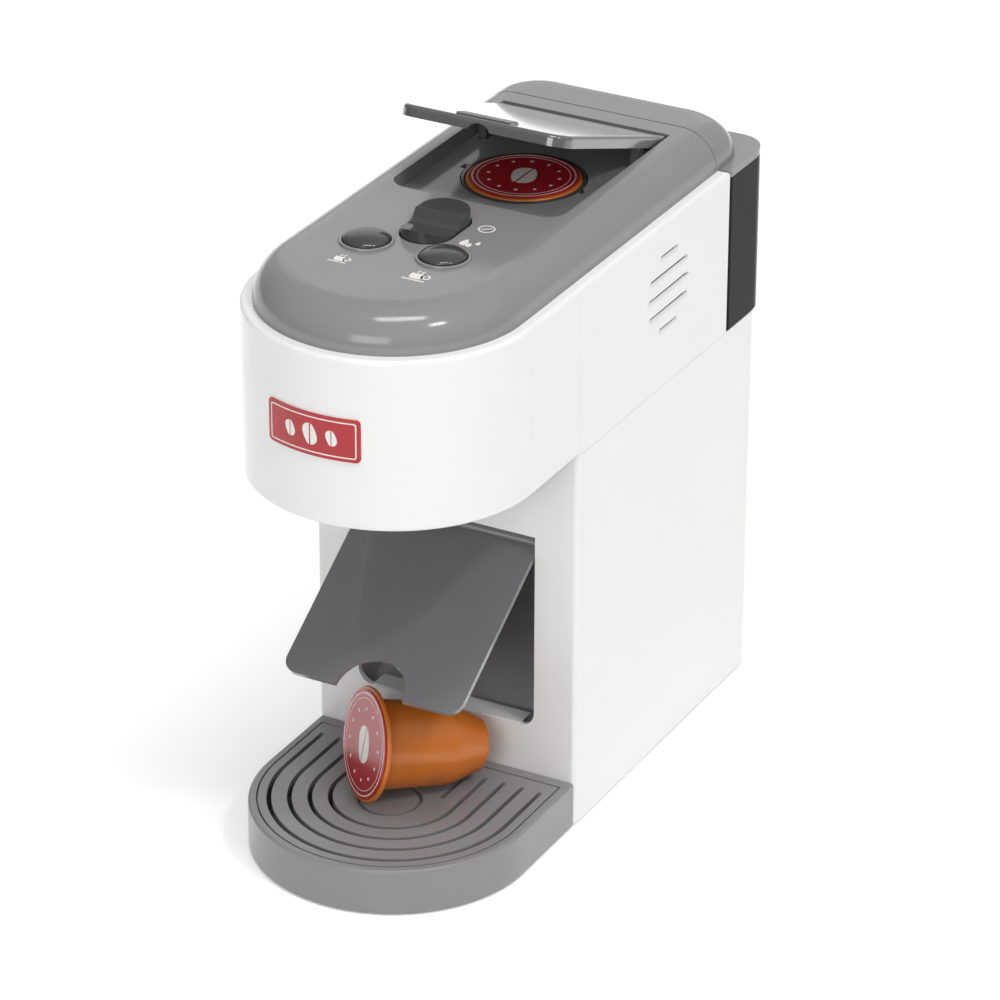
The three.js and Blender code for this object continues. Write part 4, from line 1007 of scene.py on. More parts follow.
class COFFEE_OT_head(bpy.types.Operator):
    """Build the upper housing with its vents, the head's front shell and its underside"""

    bl_idname = "coffee.head"
    bl_label = "Head"
    bl_options = {"REGISTER", "UNDO"}

    def execute(self, context):
        edge, vents = context.scene.coffee_edges, context.scene.coffee_vents
        self.upper_housing(edge, vents)
        self.front_shell(edge)
        under = prism("head_under", half_round(52.5, HEAD_CENTRE, -0.3), HEAD_BOTTOM,
                      HEAD_BOTTOM + WALL)
        cut(under, prism("hole", disc(0, OUTLET_Y, 8.3, 64), 150, 160))
        dress(under, finish("tray"), "housing", ["head_underside"], edge.fine)
        spout = turned("spout", 0, OUTLET_Y, [
            (0, 151.2), (3.2, 151.2), (3.4, 149.6), (6.0, 149.6), (6.4, 150.0), (8, 155.6),
            (8, 157.8), (12, 157.8), (12, 159.8), (2, 159.8), (2, 168.8), (0, 168.8)])
        dress(spout, finish("tray"), "housing", ["nozzle"], edge.fine)
        mark = pulled("seam_mark", disc(-0.8, 212, 0.55, 20), "X", HALF - 0.5, HALF - 0.01)
        dress(mark, finish("inner"), "housing")
        return {"FINISHED"}

    def upper_housing(self, edge, vents):
        """The housing behind the head's seam, with blades and black painted-shade strips in its
        vents.
        """
        body = block("upper_shell", -HALF, HALF, 0.02, BULKHEAD, SPLIT + 0.05, RIM)
        cut(body, block("inside", -INNER_HALF, INNER_HALF, -5, BULKHEAD - WALL, SPLIT - 5,
                        RIM - ROOF),
            block("top", -OPENING_HALF, OPENING_HALF, -5, OPENING_BACK, RIM - 10, RIM + 5))
        rows = {key: getattr(vents, key) for key in ("pitch", "shortest", "longer", "longest")}
        middle_y, middle_z = VENT_MIDDLE[0] * MM + COLUMN_FRONT, VENT_MIDDLE[1]
        grow(body, vent_tree(), material=finish("white"), height=vents.height,
             depth=2.4 * HALF * MM, middle=(0, middle_y, middle_z * MM), **rows)
        for side in SIDES:
            # Each vent gets a white blade, then a black strip deeper in: painted shade for the
            # vent's dark inside
            for name, look, slot, reach, thick, tilt, inside, drop in (
                    ("blades", "white", "white_plastic", 0.6, 0.4, 40, 0.66, 0.75),
                    ("shade_strips", "black", "dark_plastic", 0.5, 0.8, 0, 1.65, 0.95)):
                strips = solid(f"vent_{name}_{'left' if side < 0 else 'right'}", [(0, 0, 0)], [])
                grow(strips, blade_tree(), material=finish(look), wall=WALL * MM, reach=reach,
                     thickness=thick * MM, tilt=side * math.radians(tilt),
                     middle=(side * (HALF - inside) * MM, middle_y, (middle_z - drop) * MM), **rows)
                dress(strips, finish(look), "housing")
        soften(body, RIM_RADIUS, lambda x, y, z: z > RIM - 0.1
               and (abs(x) > HALF - 0.1 or y > BULKHEAD - 0.1))
        dress(body, finish("white"), "housing", ["upper_housing"], edge.fine)

    def front_shell(self, edge):
        """The head's round front, closed over by the deck."""
        front = prism("head_shell", half_round(HALF, HEAD_CENTRE, -0.02, 144), HEAD_BOTTOM, RIM)
        cut(front, prism("inside", half_round(INNER_HALF, HEAD_CENTRE, 5, 144), 150, RIM - ROOF),
            prism("top", half_round(OPENING_HALF, HEAD_CENTRE, 5, 144), RIM - 10, RIM + 5))
        soften(front, RIM_RADIUS, lambda x, y, z: z > RIM - 0.1
               and near_round(x, y, HALF, HEAD_CENTRE))
        soften(front, 1.1, lambda x, y, z: z < HEAD_BOTTOM + 0.1
               and near_round(x, y, HALF, HEAD_CENTRE))
        dress(front, finish("white"), "housing", ["head_front_shell"], edge.fine)


class COFFEE_OT_deck(bpy.types.Operator):
    """Build the domed deck with the capsule bay and its openings, and the printed signs"""

    bl_idname = "coffee.deck"
    bl_label = "Deck"
    bl_options = {"REGISTER", "UNDO"}

    def execute(self, context):
        edge = context.scene.coffee_edges

        def dome(name, half, back, bottom, top, points, steps):
            return loft(name, rounded_top(
                lambda inset: half_round(half - inset, HEAD_CENTRE, back, points),
                bottom, RIM, top, steps))

        def bay(name, grown, bottom, top):
            outline = rounded(BAY["half"] + grown, BAY["front"] - grown, BAY["back"] + grown,
                              8 + grown, 2 + grown)
            return prism(name, outline, bottom, top)

        def block_at(name, x, half, y0, y1, z0, z1):
            return block(name, x - half, x + half, y0, y1, z0, z1)

        lug_x, post_x = 12.3, 27
        arm_front, arm_back = LID_PIVOT[0] - 21.19, LID_PIVOT[0] - 14.19
        deck = dome("deck_shell", DECK_HALF, DECK_BACK, RIM, DECK_TOP, 120, 22)
        soften(deck, SEAM_RADIUS, lambda x, y, z: y > DECK_BACK - 0.05 and z > RIM + 0.1)
        cut(deck, dome("hollow", DECK_INNER_HALF, 116.3, RIM - 5, DECK_INNER_TOP, 72, 12))
        join(deck, bay("bay_shell", WALL, 227.95, 234.3))
        join(deck, *[block_at("lug", side * lug_x, 1, -9.5, -3.5, 228.5, 235.2) for side in SIDES],
             *[prism("post", disc(side * post_x, y, 3, 24), 224, 235.2)
               for side in SIDES for y in (-44, 6)])
        cut(deck, bay("bay", 0, BAY["floor"], 245),
            prism("hole", disc(0, CAPSULE_Y, CAPSULE_HOLE, 96), 220, 240))
        join(deck, block_at("lip", 0, BAY["half"] + 1, BAY["back"] - 0.9, BAY["back"] + 1,
                            DECK_TOP - 0.8, DECK_TOP))
        cut(deck, *[block_at("notch", side * CAPSULE_HOLE, 2.2, CAPSULE_Y - 2.2, CAPSULE_Y + 2.2,
                             220, 240) for side in SIDES],
            *[block_at("arm_slot", side * ARM_X, 2, arm_front, arm_back, 225, 232.5)
              for side in SIDES],
            *[prism("button_hole", disc(side * BUTTON_X, BUTTON_Y, 9.4, 64), 230, 240)
              for side in SIDES],
            prism("rocker_hole", stadium(10.3, -22.6, 9.6, 40), 230, 240),
            rod("lid_pin", 39.6, LID_PIVOT, PIN_HOLE), rod("knob_pin", 16, ROCKER_PIVOT, PIN_HOLE))
        dress(deck, finish("grey"), "housing", ["deck_cover"], edge.fine, 30)
        self.signs()
        return {"FINISHED"}

    def signs(self):
        """Small white signs: two cups, three drops and a plain ring with a bar."""
        signs = []
        for x, size in ((-BUTTON_X, 1.05), (BUTTON_X, 1.3)):
            signs += cup_sign(x - 0.5, -46.6, size)
        for x, y, size in ((15.6, -13.2, 1.6), (18.0, -14.6, 1.0), (20.4, -12.0, 0.85)):
            drop = [(x + size * 1.3 * math.sin(a) * math.sin(a / 2), y + size * 1.7 * math.cos(a))
                    for a in evenly(math.tau, 32)[:-1]]
            signs.append(deck_print("drop", drop))
        signs.append(ring_band(16.9, 0.6, 2.9, 0.55, DECK_TOP))
        signs.append(deck_print("bar", bar(15.2, -0.6, 18.6, 1.8, 0.55)))
        dress(merge("deck_signs", *signs), finish("print"), "housing")


def deck_print(name, outline):
    """A printed mark on the deck."""
    return prism(name, outline, DECK_TOP, DECK_TOP + PRINT)


def cup_sign(x, y, size):
    """A plain cup with an ear and a saucer, seen from the side."""

    def scaled(*points):
        return [(x + across * size, y + up * size) for across, up in points]

    bowl = scaled((-2.3, 1.5), (-2.1, -1.0), (-1.3, -1.8), (1.3, -1.8), (2.1, -1.0), (2.3, 1.5))
    saucer = scaled((-3.4, -2.9), (3.4, -2.9), (3.4, -2.3), (-3.4, -2.3))
    steam = [bar(*scaled((at - 0.25, 2.1))[0], *scaled((at + 0.25, 3.3))[0], 0.5 * size)
             for at in (-0.8, 0.5)]
    return [deck_print("bowl", bowl), deck_print("saucer", saucer),
            *[deck_print("steam", outline) for outline in steam],
            ring_band(x + 2.5 * size, y + 0.2 * size, 1.15 * size, 0.55 * size, DECK_TOP)]


class COFFEE_OT_controls(bpy.types.Operator):
    """Build the two domed buttons in their bezels and the rocker knob"""

    bl_idname = "coffee.controls"
    bl_label = "Controls"
    bl_options = {"REGISTER", "UNDO"}

    def execute(self, context):
        edge = context.scene.coffee_edges
        for name, side in (("left", -1), ("right", 1)):
            x = side * BUTTON_X
            radius, shoulder, rise = 8.5, 237.3, 2.4
            cap = turned(f"button_{name}_cap", x, BUTTON_Y, [
                (0, 232.6), (10.4, 232.6), (10.4, 233.8), (radius, 233.8),
                *[(radius * math.cos(a), shoulder + rise * math.sin(a))
                  for a in evenly(math.pi / 2, 16)]])
            dress(cap, finish("dark"), f"button_{name}", [f"button_{name}"],
                  edge.fine, 40)
            collar = turned(f"button_{name}_collar", x, BUTTON_Y, [
                (8.8, 234.1), (9.1, 234.1), (9.1, 236.3), (10.1, 236.3), (10.1, 236.6),
                (9.9, 237.1), (9.5, 237.3), (9.05, 237.2), (8.8, 236.9), (8.8, 234.1)])
            dress(collar, finish("grey"), "housing", [f"button_bezel_{name}"])
        knob = loft("rocker_cap", rounded_top(
            lambda inset: stadium(9.7 - inset, -22 + inset, 9 - inset, 48), 229, ROCKER_TOP - 1.0,
            ROCKER_TOP, 6))

        # A round hollow in the knob's front half, and a step up to its back half
        radius, hollow_y, floor = 25, -9.5, ROCKER_TOP - 4.2
        hollow = [(y, floor + radius - math.sqrt(radius ** 2 - (y - hollow_y) ** 2))
                  for y in [-30 + run for run in evenly(22.5, 40)]]
        step = [(-6.6, floor + 0.3), (-5.8, floor + 1.0), (-3.9, floor + 3.7), (-3.2, floor + 4.3)]
        scoop = pulled("scoop", [(-3.2, ROCKER_TOP + 9), (-30, ROCKER_TOP + 9), *hollow, *step],
                       "X", -20, 20)
        cut(knob, scoop, rod("pin_hole", 20, ROCKER_PIVOT, PIN_HOLE))
        dress(knob, finish("dark"), "rocker_knob", ["rocker_knob"],
              edge.fine * 1.6, 30)
        return {"FINISHED"}


class COFFEE_OT_lid(bpy.types.Operator):
    """Build the capsule lid with its arms, finger notch and ribbed pad"""

    bl_idname = "coffee.lid"
    bl_label = "Capsule Lid"
    bl_options = {"REGISTER", "UNDO"}

    def execute(self, context):
        edge, grip = context.scene.coffee_edges, context.scene.coffee_grip
        pivot_y, pivot_z = LID_PIVOT
        half, front, top, wall = 34.4, 20.0, DECK_TOP, 2

        def outline(inset):
            return rounded(half - inset, front + inset, pivot_y, 8 - inset, 0.4, 12)

        shell = loft("lid_shell", rounded_top(outline, top - 4.4, top - 1.6, top, 10))
        hollow = rounded(half - wall, front + wall, pivot_y - wall, 8 - wall, 0.4, 12)
        cut(shell, prism("hollow", hollow, top - 10, top - wall))
        outer, inner = ARM_RADIUS + 2.5, ARM_RADIUS - 2.5
        start = 180 - math.degrees(math.asin((top - 1 - pivot_z) / outer))
        sweep = [*arc(pivot_y, pivot_z, outer, start, 255, 40),
                 *arc(pivot_y, pivot_z, inner, 255, start, 40)]
        arms = [pulled("arm", sweep, "X", side * ARM_X - 1.5, side * ARM_X + 1.5) for side in SIDES]
        press = turned("press", 0, CAPSULE_Y, [
            (14, top - 3.4), (16, top - 3.4), (16, top - 1), (14, top - 1), (14, top - 3.4)], 72)
        join(shell, rod("spindle", 33.9, LID_PIVOT, 2.85, 64), press, *arms)
        join(shell, block("pad", -11, 11, 22.6, 29.6, top - wall, top + 0.5))
        cut(shell, pulled("finger", disc(0, top - 7.15, 5.5, 64), "Y", 15, 24),
            rod("pin_hole", 60, LID_PIVOT, PIN_HOLE))
        turn_about_x(shell, -LID_OPEN, LID_PIVOT)
        dress(shell, finish("lid"), "capsule_lid", ["capsule_lid"], edge.fine, 34)
        ribs = solid("grip_ribs", [(0, 0, 0)], [])
        grow(ribs, rib_tree(), material=finish("inner"), count=grip.count, length=22 * MM,
             pitch=grip.pitch, rise=0.9 * MM,
             first=(0, 23.0375 * MM + COLUMN_FRONT, (top + 0.55) * MM))
        turn_about_x(ribs, -LID_OPEN, LID_PIVOT)
        dress(ribs, finish("inner"), "capsule_lid", edge=0.15 * MM)
        return {"FINISHED"}


class COFFEE_OT_flap(bpy.types.Operator):
    """Build the eject flap with its round notch"""

    bl_idname = "coffee.flap"
    bl_label = "Eject Flap"
    bl_options = {"REGISTER", "UNDO"}

    def execute(self, context):
        edge = context.scene.coffee_edges
        pivot_y, pivot_z = FLAP_PIVOT
        bottom, top, half, corner = pivot_z - 75.7, pivot_z + 2.2, 37, 6
        outline = [
            *arc(corner - half, bottom + corner, corner, 180, 270, 12),
            *arc(0, bottom, 14, 180, 0, 48),
            *arc(half - corner, bottom + corner, corner, 270, 360, 12),
            (half, top), (-half, top)]
        panel = pulled("flap_panel", outline, "Y", pivot_y + 1, pivot_y + 3)
        join(panel, rod("spindle", half, FLAP_PIVOT, 2.4))
        cut(panel, rod("pin_hole", 60, FLAP_PIVOT, PIN_HOLE))
        turn_about_x(panel, -FLAP_OPEN, FLAP_PIVOT)
        dress(panel, finish("flap"), "eject_flap", ["eject_flap"],
              edge.fine * 1.6)
        return {"FINISHED"}


class COFFEE_OT_tank(bpy.types.Operator):
    """Build the smoked water tank and its domed lid"""

    bl_idname = "coffee.tank"
    bl_label = "Water Tank"
    bl_options = {"REGISTER", "UNDO"}

    def execute(self, context):
        edge = context.scene.coffee_edges

        def outline(inset):
            return rounded(HALF - inset, TANK_FRONT + inset, TANK_BACK - inset,
                           max(2 - inset, 0.4), 12 - inset, 14)

        def dome(name, half, front, back, bottom, top, points, steps):
            return loft(name, rounded_top(
                lambda inset: rounded(half - inset, front, back - inset, 0.4, 18 - inset / 2,
                                      points), bottom, RIM, top, steps))

        tank = prism("tank_shell", outline(0), 155.2, 218.3)
        cut(tank, prism("inside", outline(2), 157.2, 225),
            prism("valve_hole", disc(0, VALVE_Y, 4.7), 150, 160))
        dress(tank, finish("smoke"), "water_tank", ["water_tank"], edge.fine * 1.4)
        cover = prism("tank_lid_shell", outline(0), TANK_LID_BOTTOM, RIM)
        top = dome("dome", DECK_HALF, 118.95, 147.5, RIM - 1, DECK_TOP, 20, 22)
        soften(top, SEAM_RADIUS, lambda x, y, z: y < 119 and z > RIM + 0.1)
        hollow = dome("hollow", DECK_INNER_HALF, 125.3, 145.3, 213, DECK_INNER_TOP, 12, 10)
        join(cover, top)
        cut(cover, hollow)
        plug = prism("plug", outline(2.3), 213.3, 218.6)
        cut(plug, prism("plug_inside", outline(4.1), 205, 230))
        join(cover, plug)
        dress(cover, finish("grey"), "tank_lid", ["tank_lid"], edge.fine, 30)
        repaint("tank_valve", "rubber")
        return {"FINISHED"}


class COFFEE_OT_tray(bpy.types.Operator):
    """Build the drip tray and the slotted grille with its cup ring"""

    bl_idname = "coffee.tray"
    bl_label = "Drip Tray"
    bl_options = {"REGISTER", "UNDO"}

    def execute(self, context):
        edge, grille = context.scene.coffee_edges, context.scene.coffee_grille
        foot = 1.6

        def outline(inset):
            return half_round(TRAY_HALF - inset, TRAY_CENTRE, -0.3, 120)

        def depth(y):
            return y * MM + COLUMN_FRONT

        levels = [(outline(foot * (1 - math.sin(a))), foot * (1 - math.cos(a)))
                  for a in evenly(math.pi / 2, 8)]
        tray = loft("tray_shell", [*levels, (outline(0), TRAY_TOP)])
        cut(tray, prism("seat", half_round(51.45, TRAY_CENTRE, -4.55, 120), GRILLE_BOTTOM, 25))
        cut(tray, prism("basin", half_round(49.1, TRAY_CENTRE, -6.9), 2.2, 25))
        soften(tray, 1.2, lambda x, y, z: z > TRAY_TOP - 0.1
               and near_round(x, y, TRAY_HALF, TRAY_CENTRE))
        dress(tray, finish("tray"), "drip_tray", ["drip_tray"], edge.fine)
        plate = prism("grille_plate", half_round(50.8, TRAY_CENTRE, -5.2, 120), GRILLE_BOTTOM,
                      TRAY_TOP)
        cut(plate, ring_band(0, OUTLET_Y, 11.4, 1.5, TRAY_TOP - 1.5, 3, 96))
        grow(plate, grille_tree(), material=finish("tray"), rings=grille.rings,
             width=grille.width, pitch=grille.pitch, outer_radius=46.7 * MM,
             centre_y=depth(TRAY_CENTRE), start_y=depth(-12.4), first_short_y=depth(-32),
             second_short_y=depth(-25.4), height=17.7 * MM, depth=8 * MM)
        dress(plate, finish("tray"), "drip_grille", ["drip_grille"],
              edge.fine * 1.4)
        return {"FINISHED"}


def capsule_shell(name):
    """A capsule with its rim's top at height 0 about the origin."""
    low, end, rim = -CAPSULE["length"], CAPSULE["end"], CAPSULE["rim"]
    shoulder, shoulder_z = CAPSULE["shoulder"], -CAPSULE["shoulder_depth"]
    outside = [(0, low + 0.8), (6.5, low + 0.8), (7.2, low), (end - 0.8, low), (end, low + 0.5),
               (shoulder, shoulder_z), (15.5, -30), (17.0, -5), (17.2, -3.2), (17.2, -1.6),
               (rim - 0.5, -1.6), (rim - 0.1, -1.35), (rim, -0.9), (rim - 0.1, -0.35),
               (rim - 0.5, 0)]
    inside = [(16.0, 0), (14.0, shoulder_z), (8.8, low + 1.4), (0, low + 1.4)]
    return turned(name, 0, 0, outside + inside, 128)


def capsule_label(name):
    """A round label on the capsule's rim."""
    profile = [(0, 0), (20.2, 0), (20.4, 0.2), (20.4, 0.4), (20.2, LABEL_TOP), (0, LABEL_TOP)]
    return turned(name, 0, 0, profile)


def capsule_print(name):
    """A generic print: two thin rings, a plain bean and a circle of dots."""
    marks = [ring_band(0, 0, radius, width, LABEL_TOP, PRINT, 96)
             for radius, width in ((19.1, 0.45), (17.2, 0.25))]
    marks += [prism("bean", bean_half(side, 0.35, 4.6, 0.9, 7.0, 28), LABEL_TOP,
                    LABEL_TOP + PRINT) for side in SIDES]
    dots = 12
    for dot in range(dots):
        turn = math.tau * (dot + 0.5) / dots
        marks.append(prism("dot", disc(13.4 * math.cos(turn), 13.4 * math.sin(turn), 0.7, 16),
                           LABEL_TOP, LABEL_TOP + PRINT))
    return merge(name, *marks)


def set_down(piece, place):
    """Moves a piece made about the column's front face at height 0 to its place."""
    piece.data.transform(place @ Matrix.Translation((0, -COLUMN_FRONT, 0)))
    return piece


class COFFEE_OT_capsules(bpy.types.Operator):
    """Build the fresh capsule in its carrier and the spent one on the grille"""

    bl_idname = "coffee.capsules"
    bl_label = "Capsules"
    bl_options = {"REGISTER", "UNDO"}

    def execute(self, context):
        edge = context.scene.coffee_edges
        # Lying on its rim and its shoulder, which leans its axis, and turned to the front left
        lean = math.asin((CAPSULE["rim"] - CAPSULE["shoulder"]) / CAPSULE["shoulder_depth"])
        turn = math.radians(40)
        spent_y = -2.5 - CAPSULE["length"] * math.cos(turn) - CAPSULE["end"] * math.sin(turn)
        spent_z = TRAY_TOP + 0.3 + CAPSULE["rim"] * math.cos(lean)
        spent = (Matrix.Translation((-9.4 * MM, spent_y * MM + COLUMN_FRONT, spent_z * MM))
                 @ Matrix.Rotation(-turn, 4, "Z")
                 @ Matrix.Rotation(math.pi / 2 - lean, 4, "X"))
        fresh = Matrix.Translation((0, CAPSULE_Y * MM + COLUMN_FRONT, 230.6 * MM))
        for name, body, place in (("fresh_capsule", "capsule_carrier", fresh),
                                  ("spent_capsule", "spent_capsule", spent)):
            cup = set_down(capsule_shell(f"{name}_cup"), place)
            dress(cup, finish("orange"), body, [name])
            label = set_down(capsule_label(f"{name}_seal"), place)
            dress(label, finish("red"), body, [f"{name}_label"])
            marks = set_down(capsule_print(f"{name}_print"), place)
            dress(marks, finish("print"), body)
        carrier = copy_of("capsule_carrier", "carrier_ring")
        dress(carrier, finish("dark"), "capsule_carrier", ["capsule_carrier"],
              edge.fine)
        return {"FINISHED"}


class COFFEE_OT_badge(bpy.types.Operator):
    """Build the curved badge on the head with a plain frame line and three beans"""

    bl_idname = "coffee.badge"
    bl_label = "Badge"
    bl_options = {"REGISTER", "UNDO"}

    def execute(self, context):
        left, right, low, high = (BADGE[side] for side in ("left", "right", "bottom", "top"))
        ground = BADGE["radius"] + 0.4
        marked = (ground, ground + 0.15)

        def corners(inset, radius):
            x0, x1, z0, z1 = left + inset, right - inset, low + inset, high - inset
            return [*arc(x0 + radius, z0 + radius, radius, 180, 270, 10),
                    *arc(x1 - radius, z0 + radius, radius, 270, 360, 10),
                    *arc(x1 - radius, z1 - radius, radius, 0, 90, 10),
                    *arc(x0 + radius, z1 - radius, radius, 90, 180, 10)]

        def wrapped(name, outline, inner, outer):
            """An outline in X and Z laid round the head's front between two radii."""
            sheet = prism(name, [*arc(0, HEAD_CENTRE, outer, 225, 315, 120),
                                 *arc(0, HEAD_CENTRE, inner, 315, 225, 120)], low - 5, high + 5)
            return common(sheet, pulled("stamp", outline, "Y", -100, -70))

        plate = wrapped("badge_plate", corners(0, 1.6), BADGE["radius"], ground + 0.1)
        dress(plate, finish("red"), "housing", ["label_plate"], 0.2 * MM)
        line = cut(wrapped("line", corners(1.3, 1.0), *marked),
                   pulled("open", corners(1.75, 0.7), "Y", -100, -60))
        middle_x, middle_z = (left + right) / 2, (low + high) / 2
        beans = [wrapped("bean", bean_half(side, 0.3, 3.0, 0.6, 4.8, 20, middle_x + offset,
                                           middle_z, size), *marked)
                 for offset, size in ((-8.5, 0.62), (0.0, 0.85), (8.5, 0.62)) for side in SIDES]
        marks = merge("badge_marks", line, *beans)
        dress(marks, finish("print"), "housing")
        return {"FINISHED"}


def foot_of(node):
    """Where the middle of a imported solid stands, at the height of its lowest point."""
    low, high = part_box(node)
    return (low.x + high.x) / 2 / MM, ((low.y + high.y) / 2 - COLUMN_FRONT) / MM, low.z / MM


class COFFEE_OT_underside(bpy.types.Operator):
    """Build the base plate, battery door, rubber feet and screw heads"""

    bl_idname = "coffee.underside"
    bl_label = "Underside"
    bl_options = {"REGISTER", "UNDO"}

    def execute(self, context):
        edge = context.scene.coffee_edges
        base = copy_of("base_plate", "base_panel")
        dress(base, finish("white"), "housing", ["base_plate"], edge.fine)
        door = copy_of("battery_door", "battery_hatch")
        dress(door, finish("white"), "housing", ["battery_door"], edge.fine)
        feet = [f"foot_{number}" for number in range(1, 5)]
        profile = [(0, 0.25), (3.6, 0.25), (4.2, 0), (5.5, 0), (5.9, 0.2), (6, 0.5),
                   (6, FOOT_HEIGHT), (0, FOOT_HEIGHT)]
        pads = merge("rubber_feet",
                     *[turned(f"{foot}_pad", *foot_of(foot)[:2], profile, 48) for foot in feet])
        dress(pads, finish("rubber"), "housing", feet)
        screws = [f"base_screw_{number}" for number in range(1, 5)] + ["battery_door_screw"]
        thickness = 1.05
        places = [(x, y, z + thickness / 2) for x, y, z in map(foot_of, screws)]
        heads = solid("screws", places, [])
        grow(heads, screw_tree(), material=finish("steel"), radius=3 * MM,
             thickness=thickness * MM, slot_width=0.7 * MM, shank=10 * MM)
        dress(heads, finish("steel"), "housing", screws, 0.12 * MM)
        return {"FINISHED"}


class COFFEE_OT_inside(bpy.types.Operator):
    """Give the inner parts their finishes"""

    bl_idname = "coffee.inside"
    bl_label = "Inner Parts"
    bl_options = {"REGISTER", "UNDO"}

    def execute(self, context):
        painted = {
            "steel": ["battery_contact_front", "battery_contact_rear", "lid_hinge_pin",
                      "rocker_pin", "flap_hinge_pin"],
            "cell": ["battery_cell_1", "battery_cell_2", "battery_cell_3"],
            "speaker": ["speaker"],
            "black": ["button_switch_left", "button_switch_right", "rocker_switch", "pump",
                      "tank_socket"],
            "board": ["control_board"],
            "inner": ["guide_sleeve", "drop_tube"],
            "hose": ["supply_hose", "feed_hose"],
        }
        for name, members in painted.items():
            for node in members:
                repaint(node, name)
        return {"FINISHED"}


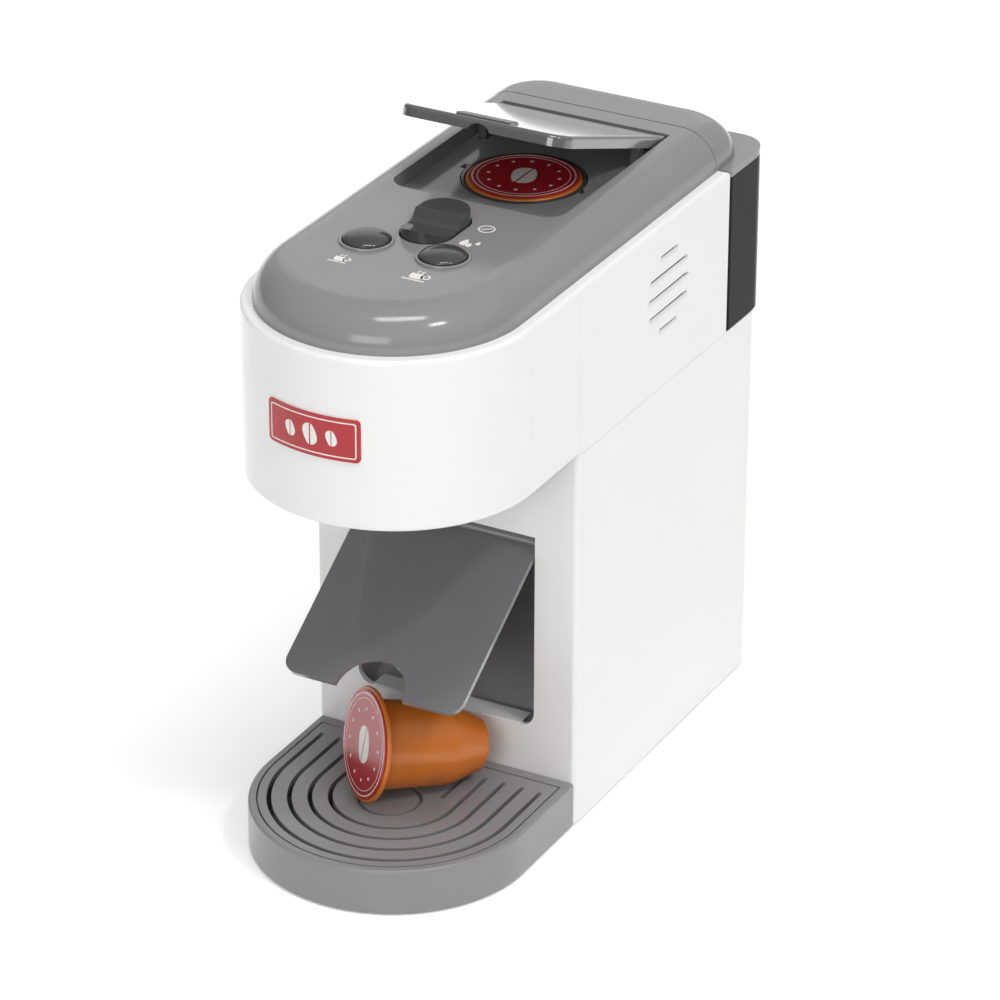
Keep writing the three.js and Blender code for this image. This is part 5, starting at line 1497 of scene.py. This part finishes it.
class COFFEE_OT_stage(bpy.types.Operator):
    """Set the floor, the soft studio lamps, the world and the camera"""

    bl_idname = "coffee.stage"
    bl_label = "Stage"
    bl_options = {"REGISTER", "UNDO"}

    def execute(self, context):
        self.floor()
        self.world(context.scene)
        for name, (place, aim, size, power) in LAMPS.items():
            self.lamp(name, place, aim, size, power)
        self.camera(context.scene)
        context.scene.view_settings.view_transform = "Standard"
        return {"FINISHED"}

    def seen(self, tree, *rays):
        """1 for what the camera sees directly or by one of these kinds of ray."""
        path = tree.nodes.new("ShaderNodeLightPath")
        total = path.outputs["Is Camera Ray"]
        for ray in rays:
            total = calc(tree, "MAXIMUM", total, path.outputs[ray])
        return total

    def floor(self):
        """A pale floor that keeps the shadow and fades to white with distance."""
        half = 5.0
        mesh = bpy.data.meshes.new("floor")
        mesh.from_pydata([(-half, -half, 0), (half, -half, 0), (half, half, 0), (-half, half, 0)],
                         [], [(0, 1, 2, 3)])
        floor = added("floor", mesh)
        floor.location.z = -0.0001
        material = bpy.data.materials.new("Pale Floor")
        material.use_nodes = True
        tree = material.node_tree
        tree.nodes.clear()
        away = add_node(tree, "ShaderNodeVectorMath", {0: own_place(tree)}, operation="LENGTH")
        to_camera = laid(tree, away.outputs["Value"], (0.5, 1.6), (0.33, 1))
        strength = laid(tree, self.seen(tree), (0, 1), (0.7, to_camera))
        shown = self.seen(tree, "Is Transmission Ray", "Is Glossy Ray")
        glow = add_node(tree, "ShaderNodeEmission", {
            "Strength": calc(tree, "MULTIPLY", shown, strength)})
        diffuse = add_node(tree, "ShaderNodeBsdfDiffuse", {"Color": (0.86, 0.86, 0.86, 1)})
        both = add_node(tree, "ShaderNodeAddShader", {0: diffuse.outputs[0], 1: glow.outputs[0]})
        add_node(tree, "ShaderNodeOutputMaterial", {"Surface": both.outputs[0]})
        mesh.materials.append(material)

    def world(self, scene):
        """White to the camera, and a soft room for light: brighter above, right and behind."""
        world = bpy.data.worlds.new("Studio")
        scene.world = world
        world.use_nodes = True
        tree = world.node_tree
        place = tree.nodes.new("ShaderNodeTexCoord").outputs["Generated"]
        way = add_node(tree, "ShaderNodeSeparateXYZ", {0: place}).outputs
        above = laid(tree, way["Z"], (0.05, 0.6), (0.16, 0.62))
        right = laid(tree, way["X"], (-1, 1), (0.3, 1.3))
        behind = laid(tree, way["Y"], (0.1, 0.75), (0, 0.6))
        around = calc(tree, "MAXIMUM", calc(tree, "MULTIPLY", above, right), behind)
        wire(tree, tree.nodes["Background"], {
            "Color": (1, 1, 1, 1),
            "Strength": calc(tree, "MAXIMUM", around, self.seen(tree, "Is Transmission Ray"))})

    def lamp(self, name, place, aim, size, power):
        """A soft rectangular lamp that faces its aim."""
        data = bpy.data.lights.new(name, "AREA")
        data.shape = "RECTANGLE"
        data.size, data.size_y = size
        data.energy = power
        lamp = added(name, data)
        lamp.location = place
        lamp.rotation_euler = (Vector(aim) - Vector(place)).to_track_quat("-Z", "Y").to_euler()

    def camera(self, scene):
        """The camera at the photograph's angle."""
        back = Vector((math.sin(AZIMUTH) * math.cos(ELEVATION),
                       -math.cos(AZIMUTH) * math.cos(ELEVATION), math.sin(ELEVATION)))
        right = (-back).cross(Vector((0, 0, 1))).normalized()
        up = right.cross(-back)
        tilted = math.cos(TILT) * right + math.sin(TILT) * up
        raised = math.cos(TILT) * up - math.sin(TILT) * right
        data = bpy.data.cameras.new("camera")
        data.lens = LENS
        data.sensor_width = 36
        data.clip_start = 0.05
        camera = added("camera", data)
        pose = Matrix((tilted, raised, back)).transposed().to_4x4()
        pose.translation = CAMERA_PLACE
        camera.matrix_world = pose
        scene.camera = camera


OPERATORS = (
    COFFEE_OT_stage, COFFEE_OT_column, COFFEE_OT_head, COFFEE_OT_deck, COFFEE_OT_controls,
    COFFEE_OT_lid, COFFEE_OT_flap, COFFEE_OT_tank, COFFEE_OT_tray, COFFEE_OT_capsules,
    COFFEE_OT_badge, COFFEE_OT_underside, COFFEE_OT_inside,
)


class COFFEE_PT_panel(bpy.types.Panel):
    """Lists the settings and the pieces in the sidebar"""

    bl_idname = "COFFEE_PT_panel"
    bl_label = "Coffee Maker"
    bl_space_type = "VIEW_3D"
    bl_region_type = "UI"
    bl_category = "Coffee Maker"

    def draw(self, context):
        for setting, group in SETTINGS.items():
            box = self.layout.box()
            for name in group.__annotations__:
                box.prop(getattr(context.scene, setting), name)
        for operator in OPERATORS:
            self.layout.operator(operator.bl_idname)


def register():
    for kind in (*SETTINGS.values(), *OPERATORS, COFFEE_PT_panel):
        bpy.utils.register_class(kind)
    for name, group in SETTINGS.items():
        setattr(bpy.types.Scene, name, bpy.props.PointerProperty(type=group))


def unregister():
    for name in SETTINGS:
        delattr(bpy.types.Scene, name)
    for kind in reversed((*SETTINGS.values(), *OPERATORS, COFFEE_PT_panel)):
        bpy.utils.unregister_class(kind)


def main():
    register()
    for operator in OPERATORS:
        family, name = operator.bl_idname.split(".")
        getattr(getattr(bpy.ops, family), name)()


if __name__ == "__main__":
    main()
